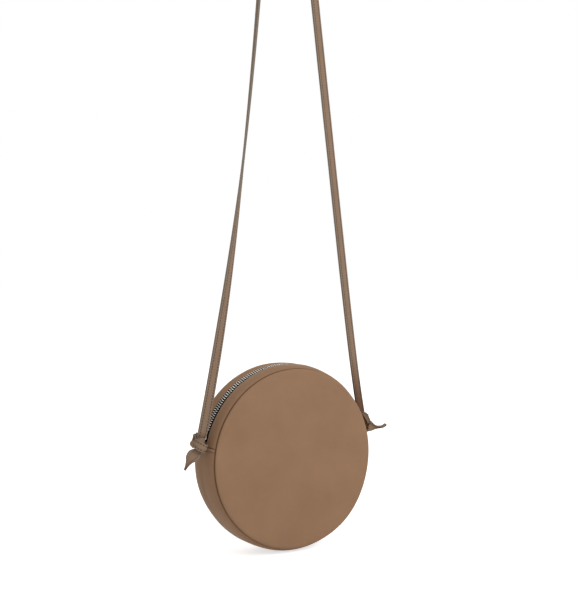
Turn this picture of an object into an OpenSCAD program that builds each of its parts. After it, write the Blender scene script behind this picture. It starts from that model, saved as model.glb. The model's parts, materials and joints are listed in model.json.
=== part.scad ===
// Round leather crossbody bag with a zip over its top and a long knotted strap.
// The bag's axis lies along Y, with its front face towards -Y. The origin is where a hook
// bears on the inside of the strap's highest bend.

/* [Bag] */
// Diameter over the middle of the side band
bag_d = 200; // [160:1:260]
// Depth over the two flat faces
bag_depth = 50; // [46:1:80]
// How far the side band swells out beyond the edge seams
band_swell = 6; // [3:0.5:9]
// Angle of the side seams above the level through the bag's middle
side_seam_angle = 11; // [9:0.5:13]

/* [Leather and lining] */
// Thickness of the bag's leather
leather_t = 1.4; // [1:0.1:1.6]
// Width of the leather turned in at the edge seams
turn_in = 5; // [3:0.5:10]
// Thickness of the lining
lining_t = 0.5; // [0.3:0.1:1]

/* [Zip] */
// Angle above level of the zip's open end, at the left, where its bottom stop lies
zip_low_angle = 14.5; // [14.5:0.5:20]
// Angle above level of the zip's closed end, at the right, where its top stops lie
zip_top_angle = 38; // [37:0.5:44]
// Distance from one tooth to the next on one tape
tooth_pitch = 2.6; // [2:0.1:4]
// Length of a tooth along the zip
tooth_t = 1.3; // [0.8:0.1:1.6]
// Reach of a tooth across the zip
tooth_reach = 2.6; // [2:0.1:3]
// Height of a tooth, out from the bag
tooth_h = 2.2; // [1.6:0.1:2.6]
// Gap that is left between the two rows
row_gap = 1.6; // [1.4:0.1:2.4]
// Width of each tape
tape_w = 14; // [12:0.5:15]
// Thickness of the tape
tape_t = 0.6; // [0.4:0.1:0.8]
// How far the toothed edges of the tapes bulge out past their sewn parts
zip_rise = 1; // [0.7:0.1:1.6]
// Leather turned under beside the zip
zip_hem = 6; // [3:0.5:8]
// How far the leather is pressed in along its hems
hem_dip = 1.3; // [0:0.1:1.4]
// Length of a top stop
stop_len = 1.6; // [1:0.1:3]
// Length of the bottom stop
bottom_stop_len = 4; // [2:0.5:5]

/* [Slider and pull] */
// Length of the slider
slider_len = 11; // [8:0.5:14]
// Thickness of the slider's top and bottom plates
plate_t = 1.2; // [0.8:0.1:1.4]
// Thickness of the slider's side rails
rail_t = 0.55; // [0.4:0.05:0.8]
// Radius of the pull's crossbar
pull_bar_r = 0.6; // [0.4:0.05:0.8]
// Length of the pull from its crossbar to its tip
pull_len = 12; // [10:0.5:13]
// Width of the pull
pull_w = 5.6; // [4.8:0.2:6]
// Thickness of the pull
pull_t = 1.2; // [0.8:0.1:1.4]

/* [Strap] */
// Height of the strap's bend above the bag's middle
strap_drop = 710; // [500:10:900]
// Width of the strap
strap_w = 11; // [8:0.5:11.5]
// Thickness of the strap, folded and sewn
strap_t = 2.4; // [1.6:0.1:3]
// Radius of the hook that the strap's bend fits
hook_r = 12; // [8:1:30]

/* [Loop tabs and knots] */
// Width of the leather loop tabs
tab_w = 9; // [6:0.5:9.5]
// How far a loop tab stands out from the side band
tab_len = 11; // [10:0.5:14]
// Height of the left knot's middle above its loop tab
left_knot_rise = 3.2; // [3.2:0.5:5.2]
// Height of the right knot's middle above its loop tab
right_knot_rise = 11.7; // [11.2:0.5:15.2]

/* [Hidden] */
$fn = 96;

leather_colour = "#94775f";
strap_colour = "#8c7462";
lining_colour = "#a5937f";
tape_colour = "#1d1b1a";
metal_colour = "#b9b6b0";

// Clearances: between pieces that lie on each other, and round the moving slider
seat_gap = 0.05;
slide_gap = 0.35;
turn_gap = 0.3;
pin_gap = 0.05;

// The bag's section, from the outside in
front = -1;
back = 1;
bag_r = bag_d / 2;
face_y = bag_depth / 2;
seam_y = face_y - 2 * leather_t;
seam_r = bag_r - band_swell;
edge_r = seam_r + leather_t - seat_gap;
turn_r = seam_r - turn_in;
swell_power = 3;
lining_y = seam_y - leather_t;
lining_back_off = 2;
lining_r = seam_r - leather_t - turn_gap;

// Radii through the zip
tape_top_r = bag_r - 2 * leather_t - seat_gap;
tape_low_r = tape_top_r - tape_t;
chain_top_r = tape_top_r + zip_rise;
chain_low_r = chain_top_r - tape_t;
tooth_top_r = (chain_top_r + chain_low_r + tooth_h) / 2;
tooth_low_r = tooth_top_r - tooth_h;
tooth_in = row_gap / 2;
tooth_out = tooth_in + tooth_reach;
tooth_neck = 0.65;
tooth_back = tooth_in + tooth_neck;
rail_in = tooth_out + slide_gap;
slider_half_w = rail_in + rail_t;
tape_slope_w = 1.2;
tape_slope_back = 0.2;
slope_in = slider_half_w + slide_gap;
zip_edge = slope_in + tape_slope_w;
hem_dip_w = 5;
tape_in = tooth_back + seat_gap;

// Angles round the bag, from +X towards +Z
function arc_deg(len, r) = len / r * 180 / PI;
right_seam = side_seam_angle;
left_seam = 180 - side_seam_angle;
stop_deg = arc_deg(stop_len, tape_top_r);
bottom_stop_deg = arc_deg(bottom_stop_len, tape_top_r);
step_deg = arc_deg(tooth_pitch, tape_top_r);
slider_half_deg = arc_deg(slider_len / 2, tape_top_r);
gap_deg = arc_deg(slide_gap, tape_top_r);
slider_angle = zip_top_angle + stop_deg + gap_deg + slider_half_deg;
first_tooth = zip_top_angle + stop_deg + step_deg / 2;
last_tooth = 180 - zip_low_angle - bottom_stop_deg - step_deg / 2;
tooth_count = floor((last_tooth - first_tooth) / step_deg);

// The slider's plates and the crossbar's place
top_plate_r = tooth_top_r + slide_gap;
low_plate_r = tooth_low_r - slide_gap - plate_t;
slider_top_r = top_plate_r + plate_t;
bail_w = 2.2;
bail_wall = 0.9;
bail_r = pull_bar_r + pin_gap + bail_wall;
bar_r = slider_top_r + seat_gap + bail_r;
post_len = 3;
pull_arm_t = (pull_w - bail_w) / 2 - slide_gap;
pull_hole_r = 1.2;

// Loop tabs: where they leave the band, and their eye
tab_t = 2 * leather_t;
tab_z = bag_r * sin(side_seam_angle) + tab_t / 2 + turn_gap;
tab_r = 3.5;
tab_x = bag_r - turn_gap;
tab_eye_x = tab_x + tab_len - tab_r;
tab_root_len = 6.5;
tab_root_x = tab_x - turn_gap - tab_root_len;
tape_end = atan2(tab_z + tab_t / 2 + turn_gap, tab_root_x - turn_gap);

// Knots: how far they stand off the band, how far forward they lie, and their half sizes
left_knot_half = [7.8, 5.7, 7.5];
right_knot_half = [4.4, 7, 7];
knot_gap = 0.5;
left_knot_x = bag_r + knot_gap + left_knot_half[0];
right_knot_x = bag_r + knot_gap + right_knot_half[0];
left_knot_z = tab_z + left_knot_rise;
right_knot_z = tab_z + right_knot_rise;
left_knot_at = [-left_knot_x, -tab_w / 2 - knot_gap - left_knot_half[1], left_knot_z];
right_knot_at = [right_knot_x, 0, right_knot_z];
left_turn_short = 4.2;
edge_round_share = 0.35;
knot_tilt = 25;
left_strap_y = -10;
left_strap_in = 3.8;
right_strap_in = 1.9;
bight_w = 3.2;
bight_t = 2.6;

// The strap's ends past the knots, in shares of their length and of the strap's width
tail_len = 26;
root_out_share = 0.6;
root_down_share = 0.75;
root_front_share = 0.88;
left_tail_shares = [[0, 0, 0], [-0.15, -0.04, -0.19], [-0.31, -0.04, -0.38],
    [-0.42, 0, -0.54], [-0.5, 0.08, -0.65]];
left_tail_across = [[1, 0, 1], [1, 0, 1], [1, 0, 1], [1, 0.4, 0.6], [1, 1, 0]];
left_tail_width_shares = [0.9, 1, 1, 0.8, 0.5];
right_tail_shares = [[0, 0, 0], [0.18, -0.02, -0.04], [0.36, -0.05, -0.1], [0.6, -0.08, -0.12],
    [0.82, -0.08, -0.02]];
right_tail_across = [[0, 0, 1], [0, 0.2, 1], [0, 0.8, 1], [0, 1, 0.4], [0, 1, 0]];
right_tail_width_shares = [1, 1, 0.85, 0.7, 0.6];

// The strap's two runs: how they spread from the bend to a knot, as straight, bowed and flared
// shares, and how they turn about their own length
left_spread_shares = [0.635, 0.377, -0.012];
right_spread_shares = [0.944, 0.012, 0.044];
bow_power = 2;
flare_power = 12;
slow_twist_share = 0.5;
twist_from_share = 0.5;
twist_to_share = 0.95;
right_turn_deg = 76;
right_twist_share = 0.3;
run_steps = 24;
bend_steps = 10;
bend_r = hook_r + strap_t / 2;
bend_deg = 84;

// Points that lie on the bag's side band
function swell(y, seam) = sqrt(max(0, 1 - pow(abs(y) / seam, swell_power)));
function band_out(y) = seam_r + band_swell * swell(y, seam_y);
function band_in(y) = seam_r - leather_t + band_swell * swell(y, lining_y);
function ease(share) = let (t = min(1, max(0, share))) t * t * (3 - 2 * t);
function panel_out(y) = band_out(y) - hem_dip * ease(1 - (y - zip_edge) / hem_dip_w);
function spaced(lo, hi, limit, steps) = let (a = asin(lo / limit), b = asin(hi / limit))
    [for (i = [0:steps]) limit * sin(a + (b - a) * i / steps)];
function reversed(list) = [for (i = [len(list) - 1:-1:0]) list[i]];

// Turns a profile of (radius, Y) from one angle round the bag to another
module around(from, to) {
    rotate([-90, 0, 0]) rotate([0, 0, -to]) rotate_extrude(angle = to - from) children();
}

// Local X points out from the bag's axis and Z along the zip, at an angle round the bag
module at_angle(a) {
    rotate([0, -a, 0]) children();
}

module at_bag() {
    translate([0, 0, -strap_drop]) children();
}

module front_panel() {
    color(leather_colour) at_bag() rotate([0, 0, 180]) back_face();
}

module back_panel() {
    color(leather_colour) at_bag() back_face();
}

// One round face whose edge is folded back on itself
module back_face() {
    fold_r = edge_r - leather_t;
    fold_y = face_y - leather_t;
    outline = concat(
        [[0, fold_y], [turn_r, fold_y], [turn_r, seam_y]],
        [for (a = [-90:15:90]) [fold_r + leather_t * cos(a), fold_y + leather_t * sin(a)]],
        [[0, face_y]]);
    rotate([-90, 0, 0]) rotate_extrude() polygon(outline);
}

// The long band round the bottom, with both edges turned in behind the faces
module bottom_band() {
    outside = [for (y = spaced(-seam_y, seam_y, seam_y, 28)) [band_out(y), y]];
    inside = [for (y = spaced(-lining_y, lining_y, lining_y, 28)) [band_in(y), y]];
    outline = concat(outside, [[turn_r, seam_y], [turn_r, lining_y]], reversed(inside),
        [[turn_r, -lining_y], [turn_r, -seam_y]]);
    color(leather_colour) at_bag() around(left_seam, right_seam + 360) polygon(outline);
}

// One strip beside the zip: hemmed along the zip, turned in at the edge seam
module zip_panel(side) {
    hem_y = zip_edge + zip_hem;
    outside = [for (y = spaced(zip_edge, seam_y, seam_y, 16)) [panel_out(y), side * y]];
    inside = [for (y = spaced(hem_y, lining_y, lining_y, 12)) [band_in(y), side * y]];
    hem = [for (y = spaced(zip_edge, hem_y, seam_y, 4)) [band_out(y) - 2 * leather_t, side * y]];
    outline = concat(outside, [[turn_r, side * seam_y], [turn_r, side * lining_y]],
        reversed(inside), reversed(hem));
    at_bag() around(right_seam, left_seam) polygon(outline);
}

module zip_panel_front() {
    color(leather_colour) zip_panel(front);
}

module zip_panel_back() {
    color(leather_colour) zip_panel(back);
}

// Woven tape: sewn under the leather's hem, it bulges out in the gap to carry the teeth
module zip_tape(side) {
    sunk = bag_r - tape_top_r;
    slope_out = zip_edge - seat_gap;
    top = concat([[chain_top_r, tape_in], [chain_top_r, slope_in]],
        [for (y = spaced(slope_out, tape_in + tape_w, seam_y, 10)) [band_out(y) - sunk, y]]);
    low = concat([[chain_low_r, tape_in], [chain_low_r, slope_in - tape_slope_back]],
        [for (y = spaced(slope_out - tape_slope_back, tape_in + tape_w, seam_y, 10))
            [band_out(y) - sunk - tape_t, y]]);
    outline = [for (p = concat(top, reversed(low))) [p[0], side * p[1]]];
    at_bag() around(tape_end, 180 - tape_end) polygon(outline);
}

module zip_tape_front() {
    color(tape_colour) zip_tape(front);
}

module zip_tape_back() {
    color(tape_colour) zip_tape(back);
}

// Clamped on the tape's edge from both sides, in the plane across the zip
function tooth_outline(side) = [
    [tooth_low_r, side * tooth_in], [tooth_low_r, side * tooth_out],
    [chain_low_r - seat_gap, side * tooth_out], [chain_low_r - seat_gap, side * tooth_back],
    [chain_top_r + seat_gap, side * tooth_back], [chain_top_r + seat_gap, side * tooth_out],
    [tooth_top_r, side * tooth_out], [tooth_top_r, side * tooth_in]];

module clamped(side, angle, length) {
    at_bag() at_angle(angle) translate([0, 0, -length / 2]) linear_extrude(length)
        polygon(tooth_outline(side));
}

module zip_teeth_front() {
    color(metal_colour) for (i = [0:tooth_count - 1])
        clamped(front, first_tooth + i * step_deg, tooth_t);
}

module zip_teeth_back() {
    color(metal_colour) for (i = [0:tooth_count - 1])
        clamped(back, first_tooth + (i + 0.5) * step_deg, tooth_t);
}

module zip_top_stop_front() {
    color(metal_colour) clamped(front, zip_top_angle + stop_deg / 2, stop_len);
}

module zip_top_stop_back() {
    color(metal_colour) clamped(back, zip_top_angle + stop_deg / 2, stop_len);
}

// One block that joins both tapes at the far end
module zip_bottom_stop() {
    outline = concat(tooth_outline(front), reversed(tooth_outline(back)));
    color(metal_colour) at_bag() at_angle(180 - zip_low_angle - bottom_stop_deg / 2)
        translate([0, 0, -bottom_stop_len / 2]) linear_extrude(bottom_stop_len) polygon(outline);
}

// Two plates with side rails, joined by a post that runs between the rows of teeth
module slider_body() {
    rail_top = chain_top_r + slide_gap;
    rail_low = chain_low_r - slide_gap;
    top_plate = [[rail_top, rail_in], [top_plate_r, rail_in], [top_plate_r, -rail_in],
        [rail_top, -rail_in], [rail_top, -slider_half_w], [slider_top_r, -slider_half_w],
        [slider_top_r, slider_half_w], [rail_top, slider_half_w]];
    low_plate = [[rail_low, rail_in], [low_plate_r + plate_t, rail_in],
        [low_plate_r + plate_t, -rail_in], [rail_low, -rail_in], [rail_low, -slider_half_w],
        [low_plate_r, -slider_half_w], [low_plate_r, slider_half_w], [rail_low, slider_half_w]];
    post_y = tooth_in - slide_gap;
    post_deg = arc_deg(post_len / 2, tape_top_r);
    post = [[low_plate_r, -post_y], [slider_top_r, -post_y], [slider_top_r, post_y],
        [low_plate_r, post_y]];
    color(metal_colour) at_bag() {
        around(slider_angle - slider_half_deg, slider_angle + slider_half_deg) polygon(top_plate);
        around(slider_angle - slider_half_deg, slider_angle + slider_half_deg) polygon(low_plate);
        around(slider_angle - post_deg, slider_angle + post_deg) polygon(post);
    }
}

// Eye on the slider that holds the pull's crossbar
module slider_bail() {
    foot_r = slider_top_r + seat_gap;
    color(metal_colour) at_bag() at_angle(slider_angle) difference() {
        union() {
            translate([bar_r, 0, 0]) rotate([90, 0, 0]) cylinder(r = bail_r, h = bail_w, center = true);
            translate([(bar_r + foot_r) / 2, 0, 0])
                cube([bar_r - foot_r, bail_w, 2 * bail_r], center = true);
        }
        translate([bar_r, 0, 0]) rotate([90, 0, 0])
            cylinder(r = pull_bar_r + pin_gap, h = 2 * bail_w, center = true);
    }
}

// The pull lies back along the teeth: a crossbar, two arms and a tongue with a round end
module pull_tab() {
    arm_y = pull_w / 2 - pull_arm_t / 2;
    arm_len = bail_r + slide_gap + pull_arm_t;
    tongue_end = pull_len - pull_w / 2;
    color(metal_colour) at_bag() at_angle(slider_angle) translate([bar_r, 0, 0]) difference() {
        union() {
            rotate([90, 0, 0]) cylinder(r = pull_bar_r, h = pull_w, center = true);
            for (y = [-arm_y, arm_y]) {
                translate([-pull_t / 2, y - pull_arm_t / 2, 0]) cube([pull_t, pull_arm_t, arm_len]);
                translate([0, y, 0]) rotate([90, 0, 0])
                    cylinder(r = pull_t / 2, h = pull_arm_t, center = true);
            }
            translate([-pull_t / 2, -pull_w / 2, bail_r + slide_gap])
                cube([pull_t, pull_w, tongue_end - bail_r - slide_gap]);
            translate([0, 0, tongue_end]) rotate([0, 90, 0])
                cylinder(d = pull_w, h = pull_t, center = true);
        }
        translate([0, 0, tongue_end]) rotate([0, 90, 0])
            cylinder(r = pull_hole_r, h = 2 * pull_t, center = true);
    }
}

// Round lining behind one face
module lining_disc(side) {
    middle = side * (lining_y - lining_t / 2);
    at_bag() translate([0, middle, 0]) rotate([90, 0, 0])
        cylinder(r = lining_r, h = lining_t, center = true);
}

module lining_front() {
    color(lining_colour) lining_disc(front);
}

module lining_back() {
    color(lining_colour) lining_disc(back);
}

module lining_band() {
    half = lining_y - lining_t - seat_gap;
    color(lining_colour) at_bag() around(left_seam, right_seam + 360)
        translate([lining_r - lining_t, -half]) square([lining_t, 2 * half]);
}

// Lining strips that end a little way back from the teeth
module lining_top(side) {
    sunk = bag_r - tape_low_r + seat_gap;
    half = lining_y - lining_t - seat_gap;
    top = [for (y = spaced(zip_edge + lining_back_off, half, seam_y, 12))
        [band_out(y) - sunk, side * y]];
    low = [for (p = top) [p[0] - lining_t, p[1]]];
    at_bag() around(right_seam, left_seam) polygon(concat(top, reversed(low)));
}

module lining_top_front() {
    color(lining_colour) lining_top(front);
}

module lining_top_back() {
    color(lining_colour) lining_top(back);
}

// A loop of doubled leather, with its eye along Y. side is -1 for left
module loop_tab(side) {
    eye_r = tab_r - leather_t;
    at_bag() rotate([0, 0, side < 0 ? 180 : 0]) translate([0, 0, tab_z])
        rotate([90, 0, 0]) difference() {
            union() {
                translate([tab_eye_x, 0, 0]) cylinder(r = tab_r, h = tab_w, center = true);
                linear_extrude(tab_w, center = true) polygon([[tab_x, -tab_t / 2],
                    [tab_eye_x, -tab_r], [tab_eye_x, tab_r], [tab_x, tab_t / 2]]);
            }
            translate([tab_eye_x, 0, 0]) cylinder(r = eye_r, h = 2 * tab_w, center = true);
            linear_extrude(2 * tab_w, center = true) polygon([[tab_x + tab_r, 0],
                [tab_eye_x, -eye_r], [tab_eye_x, eye_r]]);
        }
}

module left_loop_tab() {
    color(leather_colour) loop_tab(-1);
}

module right_loop_tab() {
    color(leather_colour) loop_tab(1);
}

// The tab's ends, caught in the side seam
module tab_root(side) {
    at_bag() rotate([0, 0, side < 0 ? 180 : 0])
        translate([tab_root_x, -tab_w / 2, tab_z - tab_t / 2]) cube([tab_root_len, tab_w, tab_t]);
}

module left_tab_root() {
    color(leather_colour) tab_root(-1);
}

module right_tab_root() {
    color(leather_colour) tab_root(1);
}

// Four corners of a flat strip at a point, with its width along the given direction
function unit(v) = v / norm(v);
function strip_ring(p, along, across, w, t) =
    let (a = unit(along), c = unit(across - (across * a) * a), n = cross(a, c))
    [p + c * w / 2 + n * t / 2, p - c * w / 2 + n * t / 2,
        p - c * w / 2 - n * t / 2, p + c * w / 2 - n * t / 2];

// A flat strip through the points of a path. across and widths have one entry a point
module strip(path, across, widths, t) {
    last = len(path) - 1;
    rings = [for (i = [0:last])
        strip_ring(path[i], path[min(i + 1, last)] - path[max(i - 1, 0)], across[i], widths[i], t)];
    points = [for (ring = rings) for (p = ring) p];
    sides = [for (i = [0:last - 1]) for (k = [0:3]) let (a = 4 * i + k, b = 4 * i + (k + 1) % 4)
        each [[a, b + 4, b], [a, a + 4, b + 4]]];
    end = 4 * last;
    caps = [[0, 1, 2], [0, 2, 3], [end, end + 2, end + 1], [end, end + 3, end + 2]];
    polyhedron(points, concat(sides, caps));
}

// One run of the strap, from the bend (share 0) to the middle of a knot (share 1)
function spread(share, shares) = share * (shares[0] + shares[1] * pow(share, bow_power)
    + shares[2] * pow(share, flare_power));
function run_point(share, side, knot_x, knot_y, knot_z, shares) =
    let (x0 = bend_r * sin(bend_deg), z0 = bend_r * cos(bend_deg) - hook_r,
        z1 = knot_z - strap_drop)
    [side * (x0 + (knot_x - x0) * spread(share, shares)), knot_y * share, z0 + (z1 - z0) * share];
function end_share(knot_half, knot_z) = 1 - (knot_half - seat_gap) / (strap_drop - knot_z - hook_r);
left_end = end_share(left_knot_half[2] + turn_gap, left_knot_z);
right_end = end_share(right_knot_half[2] + turn_gap, right_knot_z);
left_run = [for (i = [run_steps:-1:1]) run_point(left_end * i / run_steps, -1,
    left_knot_x - left_strap_in, left_strap_y, left_knot_z, left_spread_shares)];
right_run = [for (i = [1:run_steps]) run_point(right_end * i / run_steps, 1,
    right_knot_x - right_strap_in, 0, right_knot_z, right_spread_shares)];
bend = [for (i = [0:bend_steps]) let (a = bend_deg * (2 * i / bend_steps - 1))
    [bend_r * sin(a), 0, bend_r * cos(a) - hook_r]];
// Both runs turn from lying along Y at the bend to facing the front: the left one does so just
// above its knot, and the right one soon after the bend
function left_turn(share) = 90 - 90 * (slow_twist_share * share + (1 - slow_twist_share)
    * ease((share - twist_from_share) / (twist_to_share - twist_from_share)));
function right_turn(share) = 90 - right_turn_deg * ease(share / right_twist_share);
function width_way(turn) = [cos(turn), sin(turn), 0];
left_across = [for (i = [run_steps:-1:1]) width_way(left_turn(i / run_steps))];
right_across = [for (i = [1:run_steps]) width_way(right_turn(i / run_steps))];

module shoulder_strap() {
    path = concat(left_run, bend, right_run);
    across = concat(left_across, [for (p = bend) [0, 1, 0]], right_across);
    color(strap_colour) strip(path, across, [for (p = path) strap_w], strap_t);
}

// One turn of a knot: a rounded pill, long and short half sizes across, half as deep as half_y
module knot_turn(long, short, half_y, tilt) {
    rounding = short * edge_round_share;
    rotate([0, tilt, 0]) hull() for (x = [short - long, long - short])
        translate([x, 0, 0]) rotate([90, 0, 0])
            rotate_extrude($fn = 24) polygon([[0, -half_y], [short - rounding, -half_y],
                [short, rounding - half_y], [short, half_y - rounding],
                [short - rounding, half_y], [0, half_y]]);
}

// The strap's bight: through the eye of the tab and back over the tab's upper wall
module bight(side) {
    in_y = tab_w / 2 + turn_gap;
    low_z = tab_z - bight_t / 2;
    top_z = tab_z + tab_r + turn_gap;
    translate([side * tab_eye_x - bight_w / 2, 0, 0]) difference() {
        translate([0, -in_y - bight_t, low_z])
            cube([bight_w, 2 * (in_y + bight_t), top_z + bight_t - low_z]);
        translate([-bight_w / 2, -in_y, low_z + bight_t])
            cube([2 * bight_w, 2 * in_y, top_z - low_z - bight_t]);
    }
}

module left_knot() {
    color(strap_colour) at_bag() {
        translate(left_knot_at) knot_turn(left_knot_half[0], left_turn_short, left_knot_half[1],
            knot_tilt);
        translate(left_knot_at) knot_turn(left_knot_half[2], left_turn_short, left_knot_half[1],
            knot_tilt + 90);
        bight(-1);
    }
}

module right_knot() {
    color(strap_colour) at_bag() {
        translate(right_knot_at) knot_turn(right_knot_half[2], right_knot_half[0],
            right_knot_half[1], 90);
        bight(1);
    }
}

// A strap end that leaves a knot. shares gives each point in tail lengths
module tail(root, shares, length, across, width_shares) {
    at_bag() strip([for (share = shares) root + length * share], across,
        [for (share = width_shares) strap_w * share], strap_t);
}

module left_tail() {
    root = left_knot_at - [left_turn_short * root_out_share, 0,
        left_knot_half[2] * root_down_share];
    color(strap_colour) tail(root, left_tail_shares, tail_len, left_tail_across,
        left_tail_width_shares);
}

module right_tail() {
    root = right_knot_at + [right_knot_half[0] * root_out_share,
        -right_knot_half[1] * root_front_share, -right_knot_half[2] * root_down_share];
    color(strap_colour) tail(root, right_tail_shares, tail_len, right_tail_across,
        right_tail_width_shares);
}

shoulder_strap();
left_knot();
right_knot();
left_tail();
right_tail();
left_loop_tab();
right_loop_tab();
left_tab_root();
right_tab_root();
front_panel();
back_panel();
bottom_band();
zip_panel_front();
zip_panel_back();
zip_tape_front();
zip_tape_back();
zip_teeth_front();
zip_teeth_back();
zip_bottom_stop();
zip_top_stop_front();
zip_top_stop_back();
slider_body();
slider_bail();
pull_tab();
lining_front();
lining_back();
lining_band();
lining_top_front();
lining_top_back();
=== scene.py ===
"""The looks of a round leather crossbody bag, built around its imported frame.

The bag's axis lies along Y and its front face looks towards -Y. Angles round the bag run from
+X towards +Z. Every length is in metres unless its name says otherwise.
"""

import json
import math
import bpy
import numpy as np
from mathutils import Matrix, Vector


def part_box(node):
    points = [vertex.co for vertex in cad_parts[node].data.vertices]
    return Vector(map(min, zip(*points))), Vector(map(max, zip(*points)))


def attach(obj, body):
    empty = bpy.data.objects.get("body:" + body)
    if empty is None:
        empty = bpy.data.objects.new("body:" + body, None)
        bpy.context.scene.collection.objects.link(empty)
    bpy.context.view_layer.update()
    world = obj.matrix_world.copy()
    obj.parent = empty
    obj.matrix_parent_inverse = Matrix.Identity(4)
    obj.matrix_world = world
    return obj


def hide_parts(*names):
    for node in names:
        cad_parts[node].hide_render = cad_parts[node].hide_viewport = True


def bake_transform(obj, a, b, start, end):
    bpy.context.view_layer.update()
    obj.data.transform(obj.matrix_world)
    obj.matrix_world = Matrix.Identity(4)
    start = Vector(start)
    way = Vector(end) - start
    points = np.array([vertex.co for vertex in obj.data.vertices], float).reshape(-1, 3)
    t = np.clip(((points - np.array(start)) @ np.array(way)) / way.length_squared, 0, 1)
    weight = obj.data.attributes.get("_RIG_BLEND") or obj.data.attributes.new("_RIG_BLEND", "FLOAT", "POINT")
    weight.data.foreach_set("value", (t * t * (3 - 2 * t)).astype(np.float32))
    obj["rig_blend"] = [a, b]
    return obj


bl_info = {
    "name": "Circle Bag",
    "version": (1, 0, 0),
    "blender": (4, 5, 0),
    "location": "3D View > Sidebar > Circle Bag",
    "description": "Builds a round leather bag with a zip and a knotted strap around its frame",
    "category": "Object",
}

import bmesh
import bpy
from bpy.props import FloatProperty, IntProperty, PointerProperty, StringProperty
from mathutils import Matrix, Vector, noise

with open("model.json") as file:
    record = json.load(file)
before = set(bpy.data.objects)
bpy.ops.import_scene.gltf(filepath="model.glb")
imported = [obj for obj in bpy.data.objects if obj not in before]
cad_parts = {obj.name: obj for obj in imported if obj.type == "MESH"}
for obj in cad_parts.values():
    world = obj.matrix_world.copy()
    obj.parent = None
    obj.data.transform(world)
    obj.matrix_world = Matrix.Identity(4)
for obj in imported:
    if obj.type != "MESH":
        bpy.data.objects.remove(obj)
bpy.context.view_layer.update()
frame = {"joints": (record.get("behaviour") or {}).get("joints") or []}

MM = 0.001
# Air left between two layers or pieces
CLEAR = 0.05 * MM
FACE_LOW, FACE_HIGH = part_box("front_panel")
CENTRE = Vector((0, 0, (FACE_LOW.z + FACE_HIGH.z) / 2))
BAND_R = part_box("bottom_band")[1].x
FACE_Y = -FACE_LOW.y
SEAM_Y = -FACE_HIGH.y
EDGE_R = FACE_HIGH.x
TEETH_TOP_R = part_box("zip_teeth_back")[1].z - CENTRE.z
TAPE_TOP_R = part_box("zip_tape_back")[1].z - CENTRE.z
# Where the tapes are sewn, just under two layers of leather
SEWN_R = BAND_R - (FACE_Y - SEAM_Y) - CLEAR
TAB_LOW, TAB_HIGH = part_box("right_loop_tab")
TAB_Z = (TAB_LOW.z + TAB_HIGH.z) / 2
FLOOR_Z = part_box("bottom_band")[0].z


class CircleBagSizes(bpy.types.PropertyGroup):
    """Sizes that the frame doesn't give."""

    leather: FloatProperty(
        name="Leather", description="Thickness of the bag's leather",
        default=(FACE_Y - SEAM_Y) / 2, min=0.0005, unit="LENGTH")
    turn_in: FloatProperty(
        name="Turn-in", description="Leather turned in behind the edge seams",
        default=5 * MM, min=0.001, unit="LENGTH")
    side_seam: FloatProperty(
        name="Side seam", description="Angle of the side seams above the bag's middle",
        default=math.radians(10.2), unit="ROTATION")
    softness: FloatProperty(
        name="Softness", description="Depth of the slow waves in the leather",
        default=0.9 * MM, min=0, unit="LENGTH")
    zip_gap: FloatProperty(
        name="Zip gap", description="Half the width of leather gap that shows the zip",
        default=5.8 * MM, min=0.003, unit="LENGTH")
    zip_low: FloatProperty(
        name="Zip low end", description="Angle above level of the bottom stop",
        default=math.radians(14.5), unit="ROTATION")
    zip_top: FloatProperty(
        name="Zip closed end", description="Angle above level of the top stops",
        default=math.radians(38), unit="ROTATION")
    tooth_pitch: FloatProperty(
        name="Tooth pitch", description="Distance between the teeth of one tape",
        default=2.6 * MM, min=0.001, unit="LENGTH")
    strap_width: FloatProperty(
        name="Strap width", description="Width of the strap across its stitches",
        default=11 * MM, min=0.004, unit="LENGTH")
    strap_thickness: FloatProperty(
        name="Strap thickness", description="Thickness of the folded strap",
        default=2.4 * MM, min=0.001, unit="LENGTH")
    stitch_pitch: FloatProperty(
        name="Stitch pitch", description="Length of one stitch and its gap",
        default=3 * MM, min=0.001, unit="LENGTH")
    round_steps: IntProperty(
        name="Steps round the bag", description="Faces round the whole bag",
        default=216, min=48)


class CircleBagColours(bpy.types.PropertyGroup):
    """Colours, as sRGB hex values."""

    leather: StringProperty(
        name="Leather", description="Bag leather", default="#97765b")
    leather_deep: StringProperty(
        name="Leather in the seams", description="Shaded leather", default="#55341c")
    strap: StringProperty(
        name="Strap", description="Strap leather", default="#8f7763")
    raw_edge: StringProperty(
        name="Raw edge", description="Cut edge of the strap", default="#85796d")
    thread: StringProperty(
        name="Thread", description="Sewing thread", default="#33241a")
    tape: StringProperty(
        name="Zip tape", description="Woven zip tape", default="#0b0a0a")
    metal: StringProperty(
        name="Metal", description="Nickel plate", default="#e4e0d8")
    lining: StringProperty(
        name="Lining", description="Cotton lining", default="#a5937f")


def sizes():
    return bpy.context.scene.circle_bag_sizes


def colours():
    return bpy.context.scene.circle_bag_colours


# Materials

COLOUR_MIX = {"data_type": "RGBA"}


def linear(hex_colour):
    """An sRGB hex colour as linear RGBA."""
    parts = [int(hex_colour[i:i + 2], 16) / 255 for i in (1, 3, 5)]
    return [p / 12.92 if p <= 0.04045 else ((p + 0.055) / 1.055) ** 2.4 for p in parts] + [1.0]


def times(colour, share):
    """A linear colour made lighter or darker."""
    return [min(1.0, c * share) for c in colour[:3]] + [1.0]


def node(tree, kind, settings=(), **links):
    """Adds a node. A link's name is an input, with _ for a space, and its value a socket or number."""
    made = tree.nodes.new(kind)
    for name, value in dict(settings).items():
        setattr(made, name, value)
    for name, value in links.items():
        key = int(name[1:]) if name[0] == "i" and name[1:].isdigit() else name.replace("_", " ")
        if isinstance(value, bpy.types.NodeSocket):
            tree.links.new(value, made.inputs[key])
        else:
            made.inputs[key].default_value = value
    return made


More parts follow.
